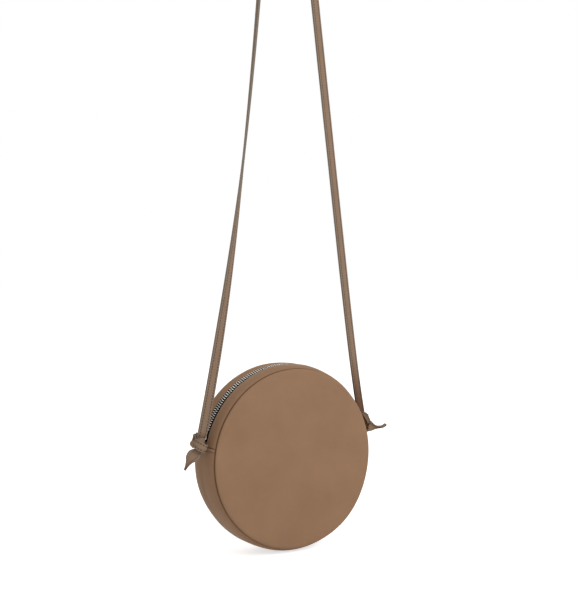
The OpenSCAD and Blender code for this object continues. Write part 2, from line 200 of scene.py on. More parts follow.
def new_material(name):
    """A bare material with its tree and its shader."""
    material = bpy.data.materials.new(name)
    material.use_nodes = True
    return material, material.node_tree, material.node_tree.nodes["Principled BSDF"]


def leather(name, colour, grain, roughness):
    """Full-grain leather, aniline dyed and lightly waxed. The eye sees a satin skin of fine
    creased pebbles and cloudy dye, with painted shade in seams and creases and painted highlights along
    folds."""
    material, tree, shader = new_material(name)
    cloud, fleck = 38 * MM, 4.5 * MM
    place = node(tree, "ShaderNodeTexCoord").outputs["Object"]
    clouds = node(tree, "ShaderNodeTexNoise", Vector=place, Scale=1 / cloud, Detail=3.0,
                  Roughness=0.6)
    mottle = node(tree, "ShaderNodeTexNoise", Vector=place, Scale=1 / fleck, Detail=4.0,
                  Roughness=0.65)
    pebbles = node(tree, "ShaderNodeTexVoronoi", {"feature": "F1"}, Vector=place, Scale=1 / grain,
                   Randomness=1.0)
    pores = node(tree, "ShaderNodeTexNoise", Vector=place, Scale=1 / (grain * 0.45), Detail=2.0)
    cloudy = node(tree, "ShaderNodeMapRange", i0=clouds.outputs["Fac"], i1=0.3, i2=0.7)
    flecked = node(tree, "ShaderNodeMapRange", i0=mottle.outputs["Fac"], i1=0.35, i2=0.75, i4=0.35)
    valleys = node(tree, "ShaderNodeMapRange", i0=pebbles.outputs["Distance"], i1=0.45, i2=0.95,
                   i4=0.28)
    base = linear(colour)
    dark = times(base, 0.93)
    layers = [(cloudy.outputs[0], times(base, 1.05)), (flecked.outputs[0], base),
              (valleys.outputs[0], dark)]
    # Painted marks: cut edges in their own grey, a painted highlight on folds and ridges, and painted shade
    # in seams, grooves and shaded parts
    for mark, tint in (("raw", linear(colours().raw_edge)), ("painted_highlight", times(base, 1.4)),
                       ("painted_shade", linear(colours().leather_deep))):
        painted = node(tree, "ShaderNodeAttribute", {"attribute_name": mark})
        layers.append((painted.outputs["Fac"], tint))
    skin = dark
    for share, tint in layers:
        skin = node(tree, "ShaderNodeMix", COLOUR_MIX, i0=share, i6=skin, i7=tint).outputs[2]
    tree.links.new(skin, shader.inputs["Base Color"])
    rough = node(tree, "ShaderNodeMapRange", i0=mottle.outputs["Fac"], i1=0.3, i2=0.8,
                 i3=roughness - 0.06, i4=roughness + 0.08)
    tree.links.new(rough.outputs[0], shader.inputs["Roughness"])
    pebbled = node(tree, "ShaderNodeBump", {"invert": True}, Height=pebbles.outputs["Distance"],
                   Strength=0.32, Distance=0.12 * MM)
    fine = node(tree, "ShaderNodeBump", Height=pores.outputs["Fac"], Strength=0.3,
                Distance=0.08 * MM, Normal=pebbled.outputs[0])
    tree.links.new(fine.outputs[0], shader.inputs["Normal"])
    shader.inputs["Specular IOR Level"].default_value = 0.1
    return material


def sewing_thread(name, colour):
    """Bonded polyester thread. The eye sees short tight ropes with a fine diagonal twist."""
    material, tree, shader = new_material(name)
    place = node(tree, "ShaderNodeTexCoord").outputs["Object"]
    twist = node(tree, "ShaderNodeTexWave", {"bands_direction": "DIAGONAL"}, Vector=place,
                 Scale=1 / (1.1 * MM), Distortion=0.4)
    base = linear(colour)
    tint = node(tree, "ShaderNodeMix", COLOUR_MIX, i0=twist.outputs["Fac"], i6=times(base, 0.7),
                i7=base)
    tree.links.new(tint.outputs[2], shader.inputs["Base Color"])
    bump = node(tree, "ShaderNodeBump", Height=twist.outputs["Fac"], Strength=0.5,
                Distance=0.05 * MM)
    tree.links.new(bump.outputs[0], shader.inputs["Normal"])
    shader.inputs["Roughness"].default_value = 0.6
    return material


def woven(name, colour, thread, lift, gloss):
    """Cloth woven over and under, along its own UV map, whose unit is a metre. The eye sees a
    fine even chequer of yarns, each a thread wide, lighter on its crown by the lift."""
    material, tree, shader = new_material(name)
    place = node(tree, "ShaderNodeUVMap", {"uv_map": "cloth"}).outputs["UV"]
    slubs = 6 * MM
    # A wave of scale 1 repeats every pi / 10
    one_yarn = math.pi / (10 * thread)
    along, across = [
        node(tree, "ShaderNodeTexWave", {"bands_direction": way}, Vector=place, Scale=one_yarn)
        for way in "XY"]
    checks = node(tree, "ShaderNodeTexChecker", Vector=place, Scale=1 / thread)
    yarn = node(tree, "ShaderNodeMix", i0=checks.outputs["Fac"], i2=along.outputs["Fac"],
                i3=across.outputs["Fac"])
    slub = node(tree, "ShaderNodeTexNoise", Vector=place, Scale=1 / slubs, Detail=3.0)
    base = linear(colour)
    tint = node(tree, "ShaderNodeMix", COLOUR_MIX, i0=yarn.outputs[0], i6=times(base, 0.5),
                i7=times(base, lift))
    cloudy = node(tree, "ShaderNodeMix", {**COLOUR_MIX, "blend_type": "MULTIPLY"}, i0=0.35,
                  i6=tint.outputs[2], i7=slub.outputs["Color"])
    tree.links.new(cloudy.outputs[2], shader.inputs["Base Color"])
    bump = node(tree, "ShaderNodeBump", Height=yarn.outputs[0], Strength=0.6, Distance=0.12 * MM)
    tree.links.new(bump.outputs[0], shader.inputs["Normal"])
    shader.inputs["Roughness"].default_value = 0.9
    shader.inputs["Specular IOR Level"].default_value = gloss
    return material


def nickel(name, colour):
    """Nickel plate over die-cast zinc, tumbled smooth. The eye sees a warm silver shine that
    is a little clouded by fine scratches, and painted shade, near black, down between the teeth."""
    material, tree, shader = new_material(name)
    clouds, scratches = 1.6 * MM, 0.25 * MM
    place = node(tree, "ShaderNodeTexCoord").outputs["Object"]
    haze = node(tree, "ShaderNodeTexNoise", Vector=place, Scale=1 / clouds, Detail=4.0,
                Roughness=0.7)
    scratch = node(tree, "ShaderNodeTexNoise", Vector=place, Scale=1 / scratches, Detail=2.0)
    base = linear(colour)
    tint = node(tree, "ShaderNodeMix", COLOUR_MIX, i0=haze.outputs["Fac"], i6=times(base, 0.84),
                i7=times(base, 1.08))
    # Painted shade: each tooth darkens nearly to black towards its base, for the shade between the teeth
    depth = node(tree, "ShaderNodeAttribute", {"attribute_name": "depth"}).outputs["Fac"]
    painted_shade_share = node(tree, "ShaderNodeMapRange", i0=depth, i1=0.03, i2=0.2)
    painted_shade_tint = node(tree, "ShaderNodeMix", COLOUR_MIX, i0=painted_shade_share.outputs[0], i6=tint.outputs[2],
                  i7=times(base, 0.04))
    tree.links.new(painted_shade_tint.outputs[2], shader.inputs["Base Color"])
    rough = node(tree, "ShaderNodeMapRange", i0=haze.outputs["Fac"], i1=0.3, i2=0.75, i3=0.2,
                 i4=0.38)
    tree.links.new(rough.outputs[0], shader.inputs["Roughness"])
    bump = node(tree, "ShaderNodeBump", Height=scratch.outputs["Fac"], Strength=0.12,
                Distance=0.04 * MM)
    tree.links.new(bump.outputs[0], shader.inputs["Normal"])
    shader.inputs["Metallic"].default_value = 1.0
    return material


# Each finish: its material, the record's slot, and how it is made
FINISHES = {
    "bag": ("Leather_full_grain_bag", "bag_leather",
            lambda name: leather(name, colours().leather, 1.1 * MM, 0.6)),
    "strap": ("Leather_folded_strap", "strap_leather",
              lambda name: leather(name, colours().strap, 0.9 * MM, 0.66)),
    "thread": ("Thread_bonded_polyester", "strap_leather",
               lambda name: sewing_thread(name, colours().thread)),
    "tape": ("Zip_tape_woven_polyester", "zip_tape",
             lambda name: woven(name, colours().tape, 0.55 * MM, 1.5, 0.02)),
    "metal": ("Nickel_plated_zinc", "zip_metal", lambda name: nickel(name, colours().metal)),
    "lining": ("Lining_plain_cotton", "lining",
               lambda name: woven(name, colours().lining, 0.5 * MM, 1.15, 0.2)),
}


# Shapes

Y_WAY = Vector((0, 1, 0))
CRISP_DEG = 35


def polar(radius, y, deg):
    """A point of the bag, from its distance to the bag's axis, its Y and its angle."""
    turn = math.radians(deg)
    return CENTRE + Vector((radius * math.cos(turn), y, radius * math.sin(turn)))


def angle_of(point):
    """The angle of a point round the bag, from 0 to 360 degrees."""
    flat = point - CENTRE
    return math.degrees(math.atan2(flat.z, flat.x)) % 360


def axis_distance(point):
    return math.hypot(point.x - CENTRE.x, point.z - CENTRE.z)


def outward(point):
    """The way from the bag's axis to a point."""
    return Vector((point.x - CENTRE.x, 0, point.z - CENTRE.z)).normalized()


def arc_deg(length, radius=BAND_R):
    return math.degrees(length / radius)


def arc(middle_a, middle_b, reach_a, reach_b, degrees):
    """Points (a, b) of an ellipse at these angles."""
    return [(middle_a + reach_a * math.cos(math.radians(d)),
             middle_b + reach_b * math.sin(math.radians(d))) for d in degrees]


def fade(distance, reach):
    """1 at no distance, falling smoothly to 0 at the reach."""
    share = min(1.0, max(0.0, 1 - distance / reach))
    return share * share * (3 - 2 * share)


def waves(point, kinds):
    """How far slow waves lift the leather at a point. Each kind has its size from crest to
    crest, and its depth as a share of the softness."""
    softness = sizes().softness
    return sum(share * softness * noise.noise((point - CENTRE) / size) for size, share in kinds)


def paint(bm, name, value_at):
    """Stores a number at every vertex, for the materials to read."""
    layer = bm.verts.layers.float.new(name)
    for v in bm.verts:
        v[layer] = value_at(v.co)


def lay_cloth(bm, radius=None):
    """Gives a mesh the UV map that its weave follows, in metres: round the bag at a radius, or
    flat like the bag's face."""
    layer = bm.loops.layers.uv.new("cloth")
    for face in bm.faces:
        for loop in face.loops:
            p = loop.vert.co
            if radius:
                loop[layer].uv = (math.radians(angle_of(p)) * radius, p.y)
            else:
                loop[layer].uv = (p.x, p.z)


def finish_piece(bm, name, kind, body, replaced=(), shading="smooth"):
    """Makes the mesh an object of one finish that rides on its body, unless the caller blends
    it, and stands for its nodes. Crisp shading is smooth but for its sharper edges."""
    material, slot, maker = FINISHES[kind]
    mesh = bpy.data.meshes.new(name)
    bm.to_mesh(mesh)
    bm.free()
    mesh.materials.append(bpy.data.materials.get(material) or maker(material))
    if shading != "flat":
        mesh.shade_smooth()
    if shading == "crisp":
        mesh.set_sharp_from_angle(angle=math.radians(CRISP_DEG))
    piece = bpy.data.objects.new(name, mesh)
    bpy.context.scene.collection.objects.link(piece)
    if body:
        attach(piece, body)
    if replaced:
        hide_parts(*replaced)
    return piece


def spin_section(section, start, stretches):
    """Turns a closed section of (radius, Y) round the bag, over stretches of (degrees, steps),
    and closes both ends."""
    bm = bmesh.new()
    verts = [bm.verts.new(polar(r, y, start)) for r, y in section]
    edges = [bm.edges.new(pair) for pair in zip(verts, verts[1:] + verts[:1])]
    ends = list(edges)
    geom = verts + edges
    for degrees, steps in stretches:
        geom = bmesh.ops.spin(bm, geom=geom, cent=CENTRE, axis=(0, -1, 0),
                              angle=math.radians(degrees), steps=steps)["geom_last"]
    ends += [g for g in geom if isinstance(g, bmesh.types.BMEdge)]
    bmesh.ops.holes_fill(bm, edges=ends, sides=0)
    bmesh.ops.recalc_face_normals(bm, faces=bm.faces)
    return bm


def spin_disc(section):
    """Turns an open section of (radius, Y), which starts and ends on the bag's axis, all round."""
    bm = bmesh.new()
    verts = [bm.verts.new(polar(r, y, 0)) for r, y in section]
    edges = [bm.edges.new(pair) for pair in zip(verts, verts[1:])]
    bmesh.ops.spin(bm, geom=verts + edges, cent=CENTRE, axis=(0, -1, 0), angle=2 * math.pi,
                   steps=sizes().round_steps, use_merge=True)
    bmesh.ops.remove_doubles(bm, verts=bm.verts, dist=0.001 * MM)
    bmesh.ops.recalc_face_normals(bm, faces=bm.faces)
    return bm


def basis(x, y, z, at):
    """The matrix with these axes, at a place."""
    return Matrix([[c[row] for c in (x, y, z, at)] for row in range(3)] + [[0, 0, 0, 1]])


def frame_at(point, along, across, width, thickness):
    """The matrix that takes a unit section to its place on a path."""
    along = along.normalized()
    side = (across - across.dot(along) * along).normalized()
    face = along.cross(side)
    return basis(side * width / 2, face * thickness / 2, along, point)


def frames_along(points, acrosses, widths, thicknesses):
    last = len(points) - 1
    return [
        frame_at(points[i], points[min(i + 1, last)] - points[max(i - 1, 0)], acrosses[i],
                 widths[i], thicknesses[i])
        for i in range(last + 1)
    ]


def sweep(bm, sections, frames):
    """Draws a closed section along frames, extruding it from each to the next. Returns its
    rings of vertices."""
    ring = [bm.verts.new(frames[0] @ Vector((a, b, 0))) for a, b in sections[0]]
    edges = [bm.edges.new(pair) for pair in zip(ring, ring[1:] + ring[:1])]
    ends = list(edges)
    rings = [ring]
    for section, place in zip(sections[1:], frames[1:]):
        grown = bmesh.ops.extrude_edge_only(bm, edges=edges)["geom"]
        new = {g for g in grown if isinstance(g, bmesh.types.BMVert)}
        step = {e.other_vert(v): v for v in new for e in v.link_edges if e.other_vert(v) not in new}
        ring = [step[v] for v in ring]
        for v, (a, b) in zip(ring, section):
            v.co = place @ Vector((a, b, 0))
        edges = [g for g in grown if isinstance(g, bmesh.types.BMEdge)
                 and g.verts[0] in new and g.verts[1] in new]
        rings.append(ring)
    ends += edges
    bmesh.ops.holes_fill(bm, edges=ends, sides=0)
    bmesh.ops.recalc_face_normals(bm, faces=bm.faces)
    return rings


CIRCLE = arc(0, 0, 1, 1, range(0, 360, 30))


def rod(bm, points, across, width, thickness, section=CIRCLE):
    """Draws one section along points, always as wide and thick."""
    count = len(points)
    frames = frames_along(points, [across] * count, [width] * count, [thickness] * count)
    sweep(bm, [section] * count, frames)


def rounded_section(roundness):
    """A unit rectangle from -1 to 1 with round corners. roundness is their share of the height."""
    made = []
    for a, b, start in ((1, 1, 0), (-1, 1, 90), (-1, -1, 180), (1, -1, 270)):
        made += arc(a * (1 - 0.25 * roundness), b * (1 - roundness), 0.25 * roundness, roundness,
                    (start + 15, start + 45, start + 75))
    return made


def rounded_box(bm, matrix, radius, segments):
    """A unit cube, put in its place and bevelled."""
    cube = bmesh.ops.create_cube(bm, size=1, matrix=matrix)["verts"]
    edges = list(dict.fromkeys(e for v in cube for e in v.link_edges))
    bmesh.ops.bevel(bm, geom=edges, offset=radius, affect="EDGES", segments=segments,
                    profile=0.5, material=-1)


def repeat(shape, places):
    """A mesh with a copy of one small shape at each place."""
    bm = bmesh.new()
    for place in places:
        copies = {v: bm.verts.new(place @ v.co) for v in shape.verts}
        for face in shape.faces:
            bm.faces.new([copies[v] for v in face.verts])
    shape.free()
    return bm


def sew(places):
    """One short round grain of thread at each place."""
    grain = bmesh.new()
    bmesh.ops.create_uvsphere(grain, u_segments=6, v_segments=5, radius=1)
    return repeat(grain, places)


def stitch_place(spot, along, out, length, width):
    return frame_at(spot, along, along.cross(out), width, 0.7 * width) @ Matrix.Diagonal(
        (1, 1, length / 2, 1))


def smooth_stations(stations, steps):
    """Catmull-Rom curve through stations, each a list of numbers."""
    rows = [stations[0], *stations, stations[-1]]
    made = []
    for a, b, c, d in zip(rows, rows[1:], rows[2:], rows[3:]):
        for i in range(steps):
            t = i / steps
            made.append([
                0.5 * (2 * q + (r - p) * t + (2 * p - 5 * q + 4 * r - s) * t * t
                       + (3 * q - p - 3 * r + s) * t ** 3)
                for p, q, r, s in zip(a, b, c, d)
            ])
    return made + [list(stations[-1])]


# The leather shell

SWELL_POWER = 3
# Where the bag hangs fuller: middle and reach in degrees, depth, and whether only the leather
# behind the zip does
BULGES = (
    (308, 45, 2.6 * MM, False),
    (266, 40, 1.4 * MM, False),
    (130, 42, 1.6 * MM, True),
)
# The leather's waves: size, and depth as a share of the softness
BAND_WAVES = ((42 * MM, 1.0), (13 * MM, 0.18))
FACE_WAVES = ((55 * MM, 0.7), (17 * MM, 0.1))
TAPE_WAVES = ((42 * MM, 0.35),)


def seam_radius():
    return EDGE_R - sizes().leather


def turned_radius():
    """How near the axis the leather turned in behind an edge seam reaches."""
    return seam_radius() - sizes().turn_in


def band_radius(y):
    """How far the side band stands from the axis at a Y."""
    share = min(1.0, abs(y) / SEAM_Y)
    swell = BAND_R - seam_radius()
    return seam_radius() + swell * math.sqrt(max(0.0, 1 - share ** SWELL_POWER))


def inside_band(ys):
    """The inner skin of the side band's leather at these values of Y."""
    t = sizes().leather
    return [(band_radius(y * SEAM_Y / (SEAM_Y - t)) - t, y) for y in ys]


def spaced_y(low, high, steps):
    """Values of Y between two, closer together near the edge seams."""
    a, b = math.asin(low / SEAM_Y), math.asin(high / SEAM_Y)
    return [SEAM_Y * math.sin(a + (b - a) * i / steps) for i in range(steps + 1)]


def spin_band(section, start, length, fine, fine_steps):
    """Turns a section of the side band, in finer steps near its ends, and lets the leather
    wave a little. Its edges stay in their seams."""
    end = arc_deg(fine)
    steps = round(sizes().round_steps * length / 360)
    bm = spin_section(section, start, [(end, fine_steps), (length - 2 * end, steps),
                                       (end, fine_steps)])
    for v in bm.verts:
        out = outward(v.co)
        at = CENTRE + out * BAND_R + Vector((0, v.co.y, 0))
        free = max(0.0, 1 - abs(v.co.y / SEAM_Y) ** 4)
        v.co += out * free * waves(at, BAND_WAVES)
    return bm


def seam_distance(point):
    """Distance round the bag to the nearer side seam."""
    seam = math.degrees(sizes().side_seam)
    turn = angle_of(point)
    return BAND_R * math.radians(
        min(abs(turn - seam), abs(turn - 180 + seam), abs(turn - 360 - seam)))


def seam_groove_shade(point):
    """Painted shade in the groove of the edge seams."""
    return 0.9 * fade(SEAM_Y - abs(point.y), 1.2 * MM)


def sag(bm):
    """Lets the bag hang a little fuller in places. No moving piece reaches there."""
    for v in bm.verts:
        out = axis_distance(v.co)
        if out < MM:
            continue
        push = 0.0
        for middle, reach, depth, behind_zip in BULGES:
            near = fade(abs((angle_of(v.co) - middle + 180) % 360 - 180), reach)
            if behind_zip:
                share = (v.co.y - sizes().zip_gap) / (SEAM_Y - sizes().zip_gap)
                push += near * depth * math.sin(math.pi * min(1.0, max(0.0, share)))
            else:
                push += near * depth * (out / BAND_R) ** 2
        v.co += outward(v.co) * push


FACE_ROLL_IN, FACE_ROLL_UP = 3.2 * MM, 1.5 * MM
FACE_DOME = 0.7 * MM
FACE_RINGS = 22


class FacesOperator(bpy.types.Operator):
    """Makes the two round faces, whose edges roll into the edge seams"""

    bl_idname = "circle_bag.faces"
    bl_label = "Round Faces"

    def execute(self, context):
        for side, name in ((-1, "front_panel"), (1, "back_panel")):
            bm = spin_disc(self.section(side))
            self.puff(bm, side)
            paint(bm, "painted_shade", self.painted_shade)
            sag(bm)
            finish_piece(bm, name + "_leather", "bag", "bag", [name])
        return {"FINISHED"}

    def section(self, side):
        waist = FACE_Y - FACE_ROLL_UP
        curl = waist - SEAM_Y
        flat_r = EDGE_R - FACE_ROLL_IN
        inner_y = FACE_Y - sizes().leather
        flat = [(flat_r * i / FACE_RINGS, FACE_Y) for i in range(FACE_RINGS)]
        upper = arc(flat_r, waist, FACE_ROLL_IN, FACE_ROLL_UP, range(90, 0, -10))
        lower = arc(EDGE_R - curl, waist, curl, -curl, range(0, 81, 16))
        inside = [(turned_radius(), SEAM_Y), (turned_radius(), inner_y), (0, inner_y)]
        return [(r, side * y) for r, y in flat + upper + lower + inside]

    def puff(self, bm, side):
        """The face swells a little inside its rim, and waves."""
        for v in bm.verts:
            out = axis_distance(v.co) / EDGE_R
            free = max(0.0, 1 - out ** 5)
            at = Vector((v.co.x, side * FACE_Y, v.co.z))
            v.co.y += side * free * (FACE_DOME * (1 - out * out) + waves(at, FACE_WAVES))

    # Painted shade where the face's rim rolls into the edge seam
    def painted_shade(self, point):
        rim = fade(EDGE_R - axis_distance(point), 2.2 * MM)
        return 0.9 * rim * fade(abs(point.y) - SEAM_Y, 1.4 * MM)


LAP_REACH, LAP_LIFT = 3.2 * MM, 1.1 * MM
LAP_EDGE_REACH, LAP_EDGE_DROP = 0.7 * MM, 0.9 * MM
# Where the band hangs slack, painted with shade: middle and reach in degrees
SLACK_MIDDLE, SLACK_REACH = 204, 34


class BottomBandOperator(bpy.types.Operator):
    """Makes the long band round the bottom, with its lapped ends and their stitches"""

    bl_idname = "circle_bag.bottom_band"
    bl_label = "Bottom Band"

    def execute(self, context):
        seam = math.degrees(sizes().side_seam)
        low = SEAM_Y - sizes().leather
        turn_r = turned_radius()
        outside = [(band_radius(y), y) for y in spaced_y(-SEAM_Y, SEAM_Y, 36)]
        inside = inside_band([low * math.sin(math.radians(a)) for a in range(90, -91, -15)])
        section = outside + [(turn_r, SEAM_Y), (turn_r, low)] + inside + [
            (turn_r, -low), (turn_r, -SEAM_Y)]
        bm = spin_band(section, 180 - seam, 180 + 2 * seam, 5 * MM, 12)
        self.lap(bm)
        paint(bm, "painted_shade", self.painted_shade)
        # Painted highlight on the ridge of each side seam's lap
        paint(bm, "painted_highlight", lambda p: 0.6 * fade(abs(seam_distance(p) - 1.3 * MM), 1.2 * MM))
        sag(bm)
        finish_piece(bm, "bottom_band_leather", "bag", "bag", ["bottom_band"])
        self.stitches()
        return {"FINISHED"}

    def lap(self, bm):
        """The band's folded ends stand up over the seam."""
        for v in bm.verts:
            y = v.co.y
            skin = band_radius(y) - 0.7 * sizes().leather
            if axis_distance(v.co) < skin or abs(y) > SEAM_Y - 0.1 * MM:
                continue
            near = seam_distance(v.co)
            lift = LAP_LIFT * fade(near, LAP_REACH) - LAP_EDGE_DROP * fade(near, LAP_EDGE_REACH)
            v.co += outward(v.co) * lift * (1 - abs(y / SEAM_Y) ** 6)

    # Painted shade in the edge seams' groove, at the side seams and their stitch rows, and where the band
    # hangs slack
    def painted_shade(self, point):
        near = seam_distance(point)
        slack = 0.22 * fade(abs(angle_of(point) - SLACK_MIDDLE), SLACK_REACH) * fade(
            abs(point.y - 1 * MM), 7 * MM)
        return max(seam_groove_shade(point), 0.75 * fade(near, 0.5 * MM),
                   0.4 * fade(abs(near - 3.6 * MM), 1.3 * MM), slack)

    def stitches(self):
        """A row of stitches across the band, just below each lap."""
        below = math.degrees(sizes().side_seam) - arc_deg(LAP_REACH)
        pitch = sizes().stitch_pitch
        count = int(2 * (SEAM_Y - 3 * MM) / pitch)
        places = []
        for turn in (below, 180 - below):
            for i in range(count):
                y = (i - (count - 1) / 2) * pitch
                spot = polar(band_radius(y) + 0.25 * MM, y, turn)
                places.append(stitch_place(spot, Y_WAY, outward(spot), 2.0 * MM, 0.5 * MM))
        finish_piece(sew(places), "side_seam_stitches", "thread", "bag")


HEM_DIP, HEM_DIP_REACH = 1.3 * MM, 5 * MM
HEM_T, HEM_WIDTH = 1.7 * MM, 4.5 * MM
TUCK, TUCK_REACH = 0.7 * MM, 2.2 * MM


class ZipPanelsOperator(bpy.types.Operator):
    """Makes the two leather strips beside the zip, folded under along it"""

    bl_idname = "circle_bag.zip_panels"
    bl_label = "Zip Panels"

    def execute(self, context):
        seam = math.degrees(sizes().side_seam)
        for side, name in ((-1, "zip_panel_front"), (1, "zip_panel_back")):
            bm = spin_band(self.section(side), seam, 180 - 2 * seam, 4 * MM, 8)
            self.tuck(bm)
            paint(bm, "painted_shade", self.painted_shade)
            paint(bm, "painted_highlight", self.fold_highlight)
            sag(bm)
            finish_piece(bm, name + "_leather", "bag", "bag", [name])
        return {"FINISHED"}

    def surface(self, y):
        """The strip is pressed in along its fold."""
        return band_radius(y) - HEM_DIP * fade(y - sizes().zip_gap, HEM_DIP_REACH)

    def section(self, side):
        t = sizes().leather
        low = SEAM_Y - t
        fold_r = HEM_T / 2
        fold_y = sizes().zip_gap + fold_r
        middle = self.surface(fold_y) - fold_r
        outside = [(self.surface(y), y) for y in reversed(spaced_y(fold_y, SEAM_Y, 28))]
        fold = arc(middle, fold_y, fold_r, -fold_r, range(20, 180, 20))
        hem_y = fold_y + HEM_WIDTH
        hem = [(middle - fold_r, fold_y), (band_radius(hem_y) - 2 * t, hem_y)]
        free_y = hem_y + 0.2 * MM
        back = inside_band([free_y + (low - free_y) * share for share in
                            (0, 0.2, 0.4, 0.6, 0.75, 0.87, 0.96, 1)])
        turned = [(turned_radius(), low), (turned_radius(), SEAM_Y)]
        return [(r, side * y) for r, y in outside + fold + hem + back + turned]

    def tuck(self, bm):
        """The strip's ends dip under the band's laps."""
        for v in bm.verts:
            edge = max(0.0, 1 - abs(v.co.y / SEAM_Y) ** 6)
            v.co -= outward(v.co) * TUCK * fade(seam_distance(v.co), TUCK_REACH) * edge

    # Painted shade in the edge seams' groove, at the side seams, and down the fold's side in the zip's
    # gutter
    def painted_shade(self, point):
        fold = fade(abs(abs(point.y) - sizes().zip_gap), 1.2 * MM)
        deep = self.surface(sizes().zip_gap) - axis_distance(point)
        gutter = fold * (1 - fade(deep, 1.1 * MM))
        return max(seam_groove_shade(point), 0.7 * fade(seam_distance(point), 1.0 * MM), gutter)

    def fold_highlight(self, point):
        """A painted highlight along the fold beside the zip."""
        near = abs(abs(point.y) - sizes().zip_gap - 0.2 * MM)
        deep = BAND_R - HEM_DIP - axis_distance(point)
        return 0.5 * fade(near, 1.0 * MM) * fade(deep, 0.6 * MM)


# The zip

TAPE_T = 0.6 * MM
CORD_R, CORD_Y = 0.75 * MM, 1.9 * MM
TOOTH_HEIGHT = 2.2 * MM
# Across the zip: where a tooth's head ends past the middle, its leg starts and its leg ends
TOOTH_IN, LEG_IN, TOOTH_OUT = -0.3 * MM, 0.95 * MM, 4.4 * MM
STOP_OUT = 3.4 * MM
TOP_STOP, BOTTOM_STOP = 1.6 * MM, 4 * MM


class ZipTapesOperator(bpy.types.Operator):
    """Makes the two woven tapes, each with a corded edge that the teeth clamp"""

    bl_idname = "circle_bag.zip_tapes"
    bl_label = "Zip Tapes"

    def execute(self, context):
        for side, name in ((-1, "zip_tape_front"), (1, "zip_tape_back")):
            low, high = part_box(name)
            start = math.degrees(math.asin((low.z - CENTRE.z) / SEWN_R)) + 0.2
            length = 180 - 2 * start
            steps = round(sizes().round_steps * length / 360)
            section = self.section(side, max(abs(low.y), abs(high.y)))
            bm = spin_section(section, start, [(length, steps)])
            for v in bm.verts:
                out = outward(v.co)
                v.co += out * waves(CENTRE + out * BAND_R, TAPE_WAVES)
            lay_cloth(bm, TAPE_TOP_R)
            finish_piece(bm, name + "_weave", "tape", "bag", [name], "crisp")
        return {"FINISHED"}

    def section(self, side, outer):
        """The cord, a slope down to the leather, and the sewn part that lies under it."""
        cord = arc(TAPE_TOP_R - TAPE_T / 2, CORD_Y, CORD_R, -CORD_R, range(-60, 241, 20))
        slope_in, slope_out = 4.3 * MM, sizes().zip_gap
        rise = TAPE_TOP_R - SEWN_R
        top = [(TAPE_TOP_R, CORD_Y + CORD_R + CLEAR)]
        for i in range(7):
            share = i / 6
            top.append((TAPE_TOP_R - rise * share * share * (3 - 2 * share),
                        slope_in + (slope_out - slope_in) * share))
        for share in (0.1, 0.3, 0.5, 0.7, 0.85, 1):
            y = slope_out + (outer - slope_out) * share
            top.append((band_radius(y) - (BAND_R - SEWN_R), y))
        low = [(r - TAPE_T, y) for r, y in top]
        return [(r, side * y) for r, y in list(reversed(top)) + cord + low]


class ZipTeethOperator(bpy.types.Operator):
    """Makes the two rows of meshed metal teeth and their end stops"""

    bl_idname = "circle_bag.zip_teeth"
    bl_label = "Zip Teeth"

    def execute(self, context):
        step = arc_deg(sizes().tooth_pitch, SEWN_R)
        stop = arc_deg(TOP_STOP, SEWN_R)
        low_stop = arc_deg(BOTTOM_STOP, SEWN_R)
        top = math.degrees(sizes().zip_top)
        low = 180 - math.degrees(sizes().zip_low)
        first = top + stop + step / 2
        last = low - low_stop - step / 2
        count = int((last - first) / step)
        for side, name, shift in ((-1, "zip_teeth_front", 0), (1, "zip_teeth_back", 0.5)):
            bm = repeat(self.tooth(side), [self.place(first + (i + shift) * step, 0)
                                           for i in range(count)])
            # The depth sets the painted shade low between the teeth
            paint(bm, "depth", self.depth)
            finish_piece(bm, name + "_metal", "metal", "bag", [name], "flat")
        for side, name in ((-1, "zip_top_stop_front"), (1, "zip_top_stop_back")):
            self.stop(name, top + stop / 2, side * 0.9 * MM, side * STOP_OUT, 1.7 * MM, 2.3 * MM)
        self.stop("zip_bottom_stop", low - low_stop / 2, 0.3 * MM - STOP_OUT,
                  STOP_OUT - 0.3 * MM, BOTTOM_STOP, 2.4 * MM)
        return {"FINISHED"}

    def depth(self, point):
        """How far down a tooth a point lies, as a share of its height."""
        return (TEETH_TOP_R - CLEAR - axis_distance(point)) / TOOTH_HEIGHT

    def place(self, turn, y):
        """Matrix at a place on the chain: X out, Y across and Z along the zip."""
        out = outward(polar(1, 0, turn))
        at = CENTRE + out * (TEETH_TOP_R - TOOTH_HEIGHT / 2 - CLEAR) + Vector((0, y, 0))
        return basis(out, Y_WAY, Vector((-out.z, 0, out.x)), at)

    def stop(self, name, turn, y_from, y_to, length, height):
        """A metal clip that ends the chain."""
        bm = bmesh.new()
        shape = Matrix.Diagonal((height, abs(y_to - y_from), length, 1))
        rounded_box(bm, self.place(turn, (y_from + y_to) / 2) @ shape, 0.3 * MM, 2)
        finish_piece(bm, name + "_metal", "metal", "bag", [name], "flat")

    def tooth(self, side):
        """A leg that clamps the tape, and a narrower head that meshes past the middle."""
        bm = bmesh.new()
        leg = (LEG_IN, TOOTH_OUT, 1.9 * MM, 0.95 * MM)
        head = (TOOTH_IN, LEG_IN + 0.3 * MM, 1.8 * MM, 0.75 * MM)
        for y_from, y_to, height, length in (leg, head):
            shape = Matrix.Diagonal((height, y_to - y_from, length, 1))
            place = Matrix.Translation((0, side * (y_from + y_to) / 2, 0))
            rounded_box(bm, place @ shape, 0.22 * MM, 1)
        return bm


SLIDER_T, SLIDER_PLAY, SLIDER_LIP = 1.1 * MM, 0.35 * MM, 1.4 * MM
PULL_T, PULL_LENGTH = 1.2 * MM, 12 * MM


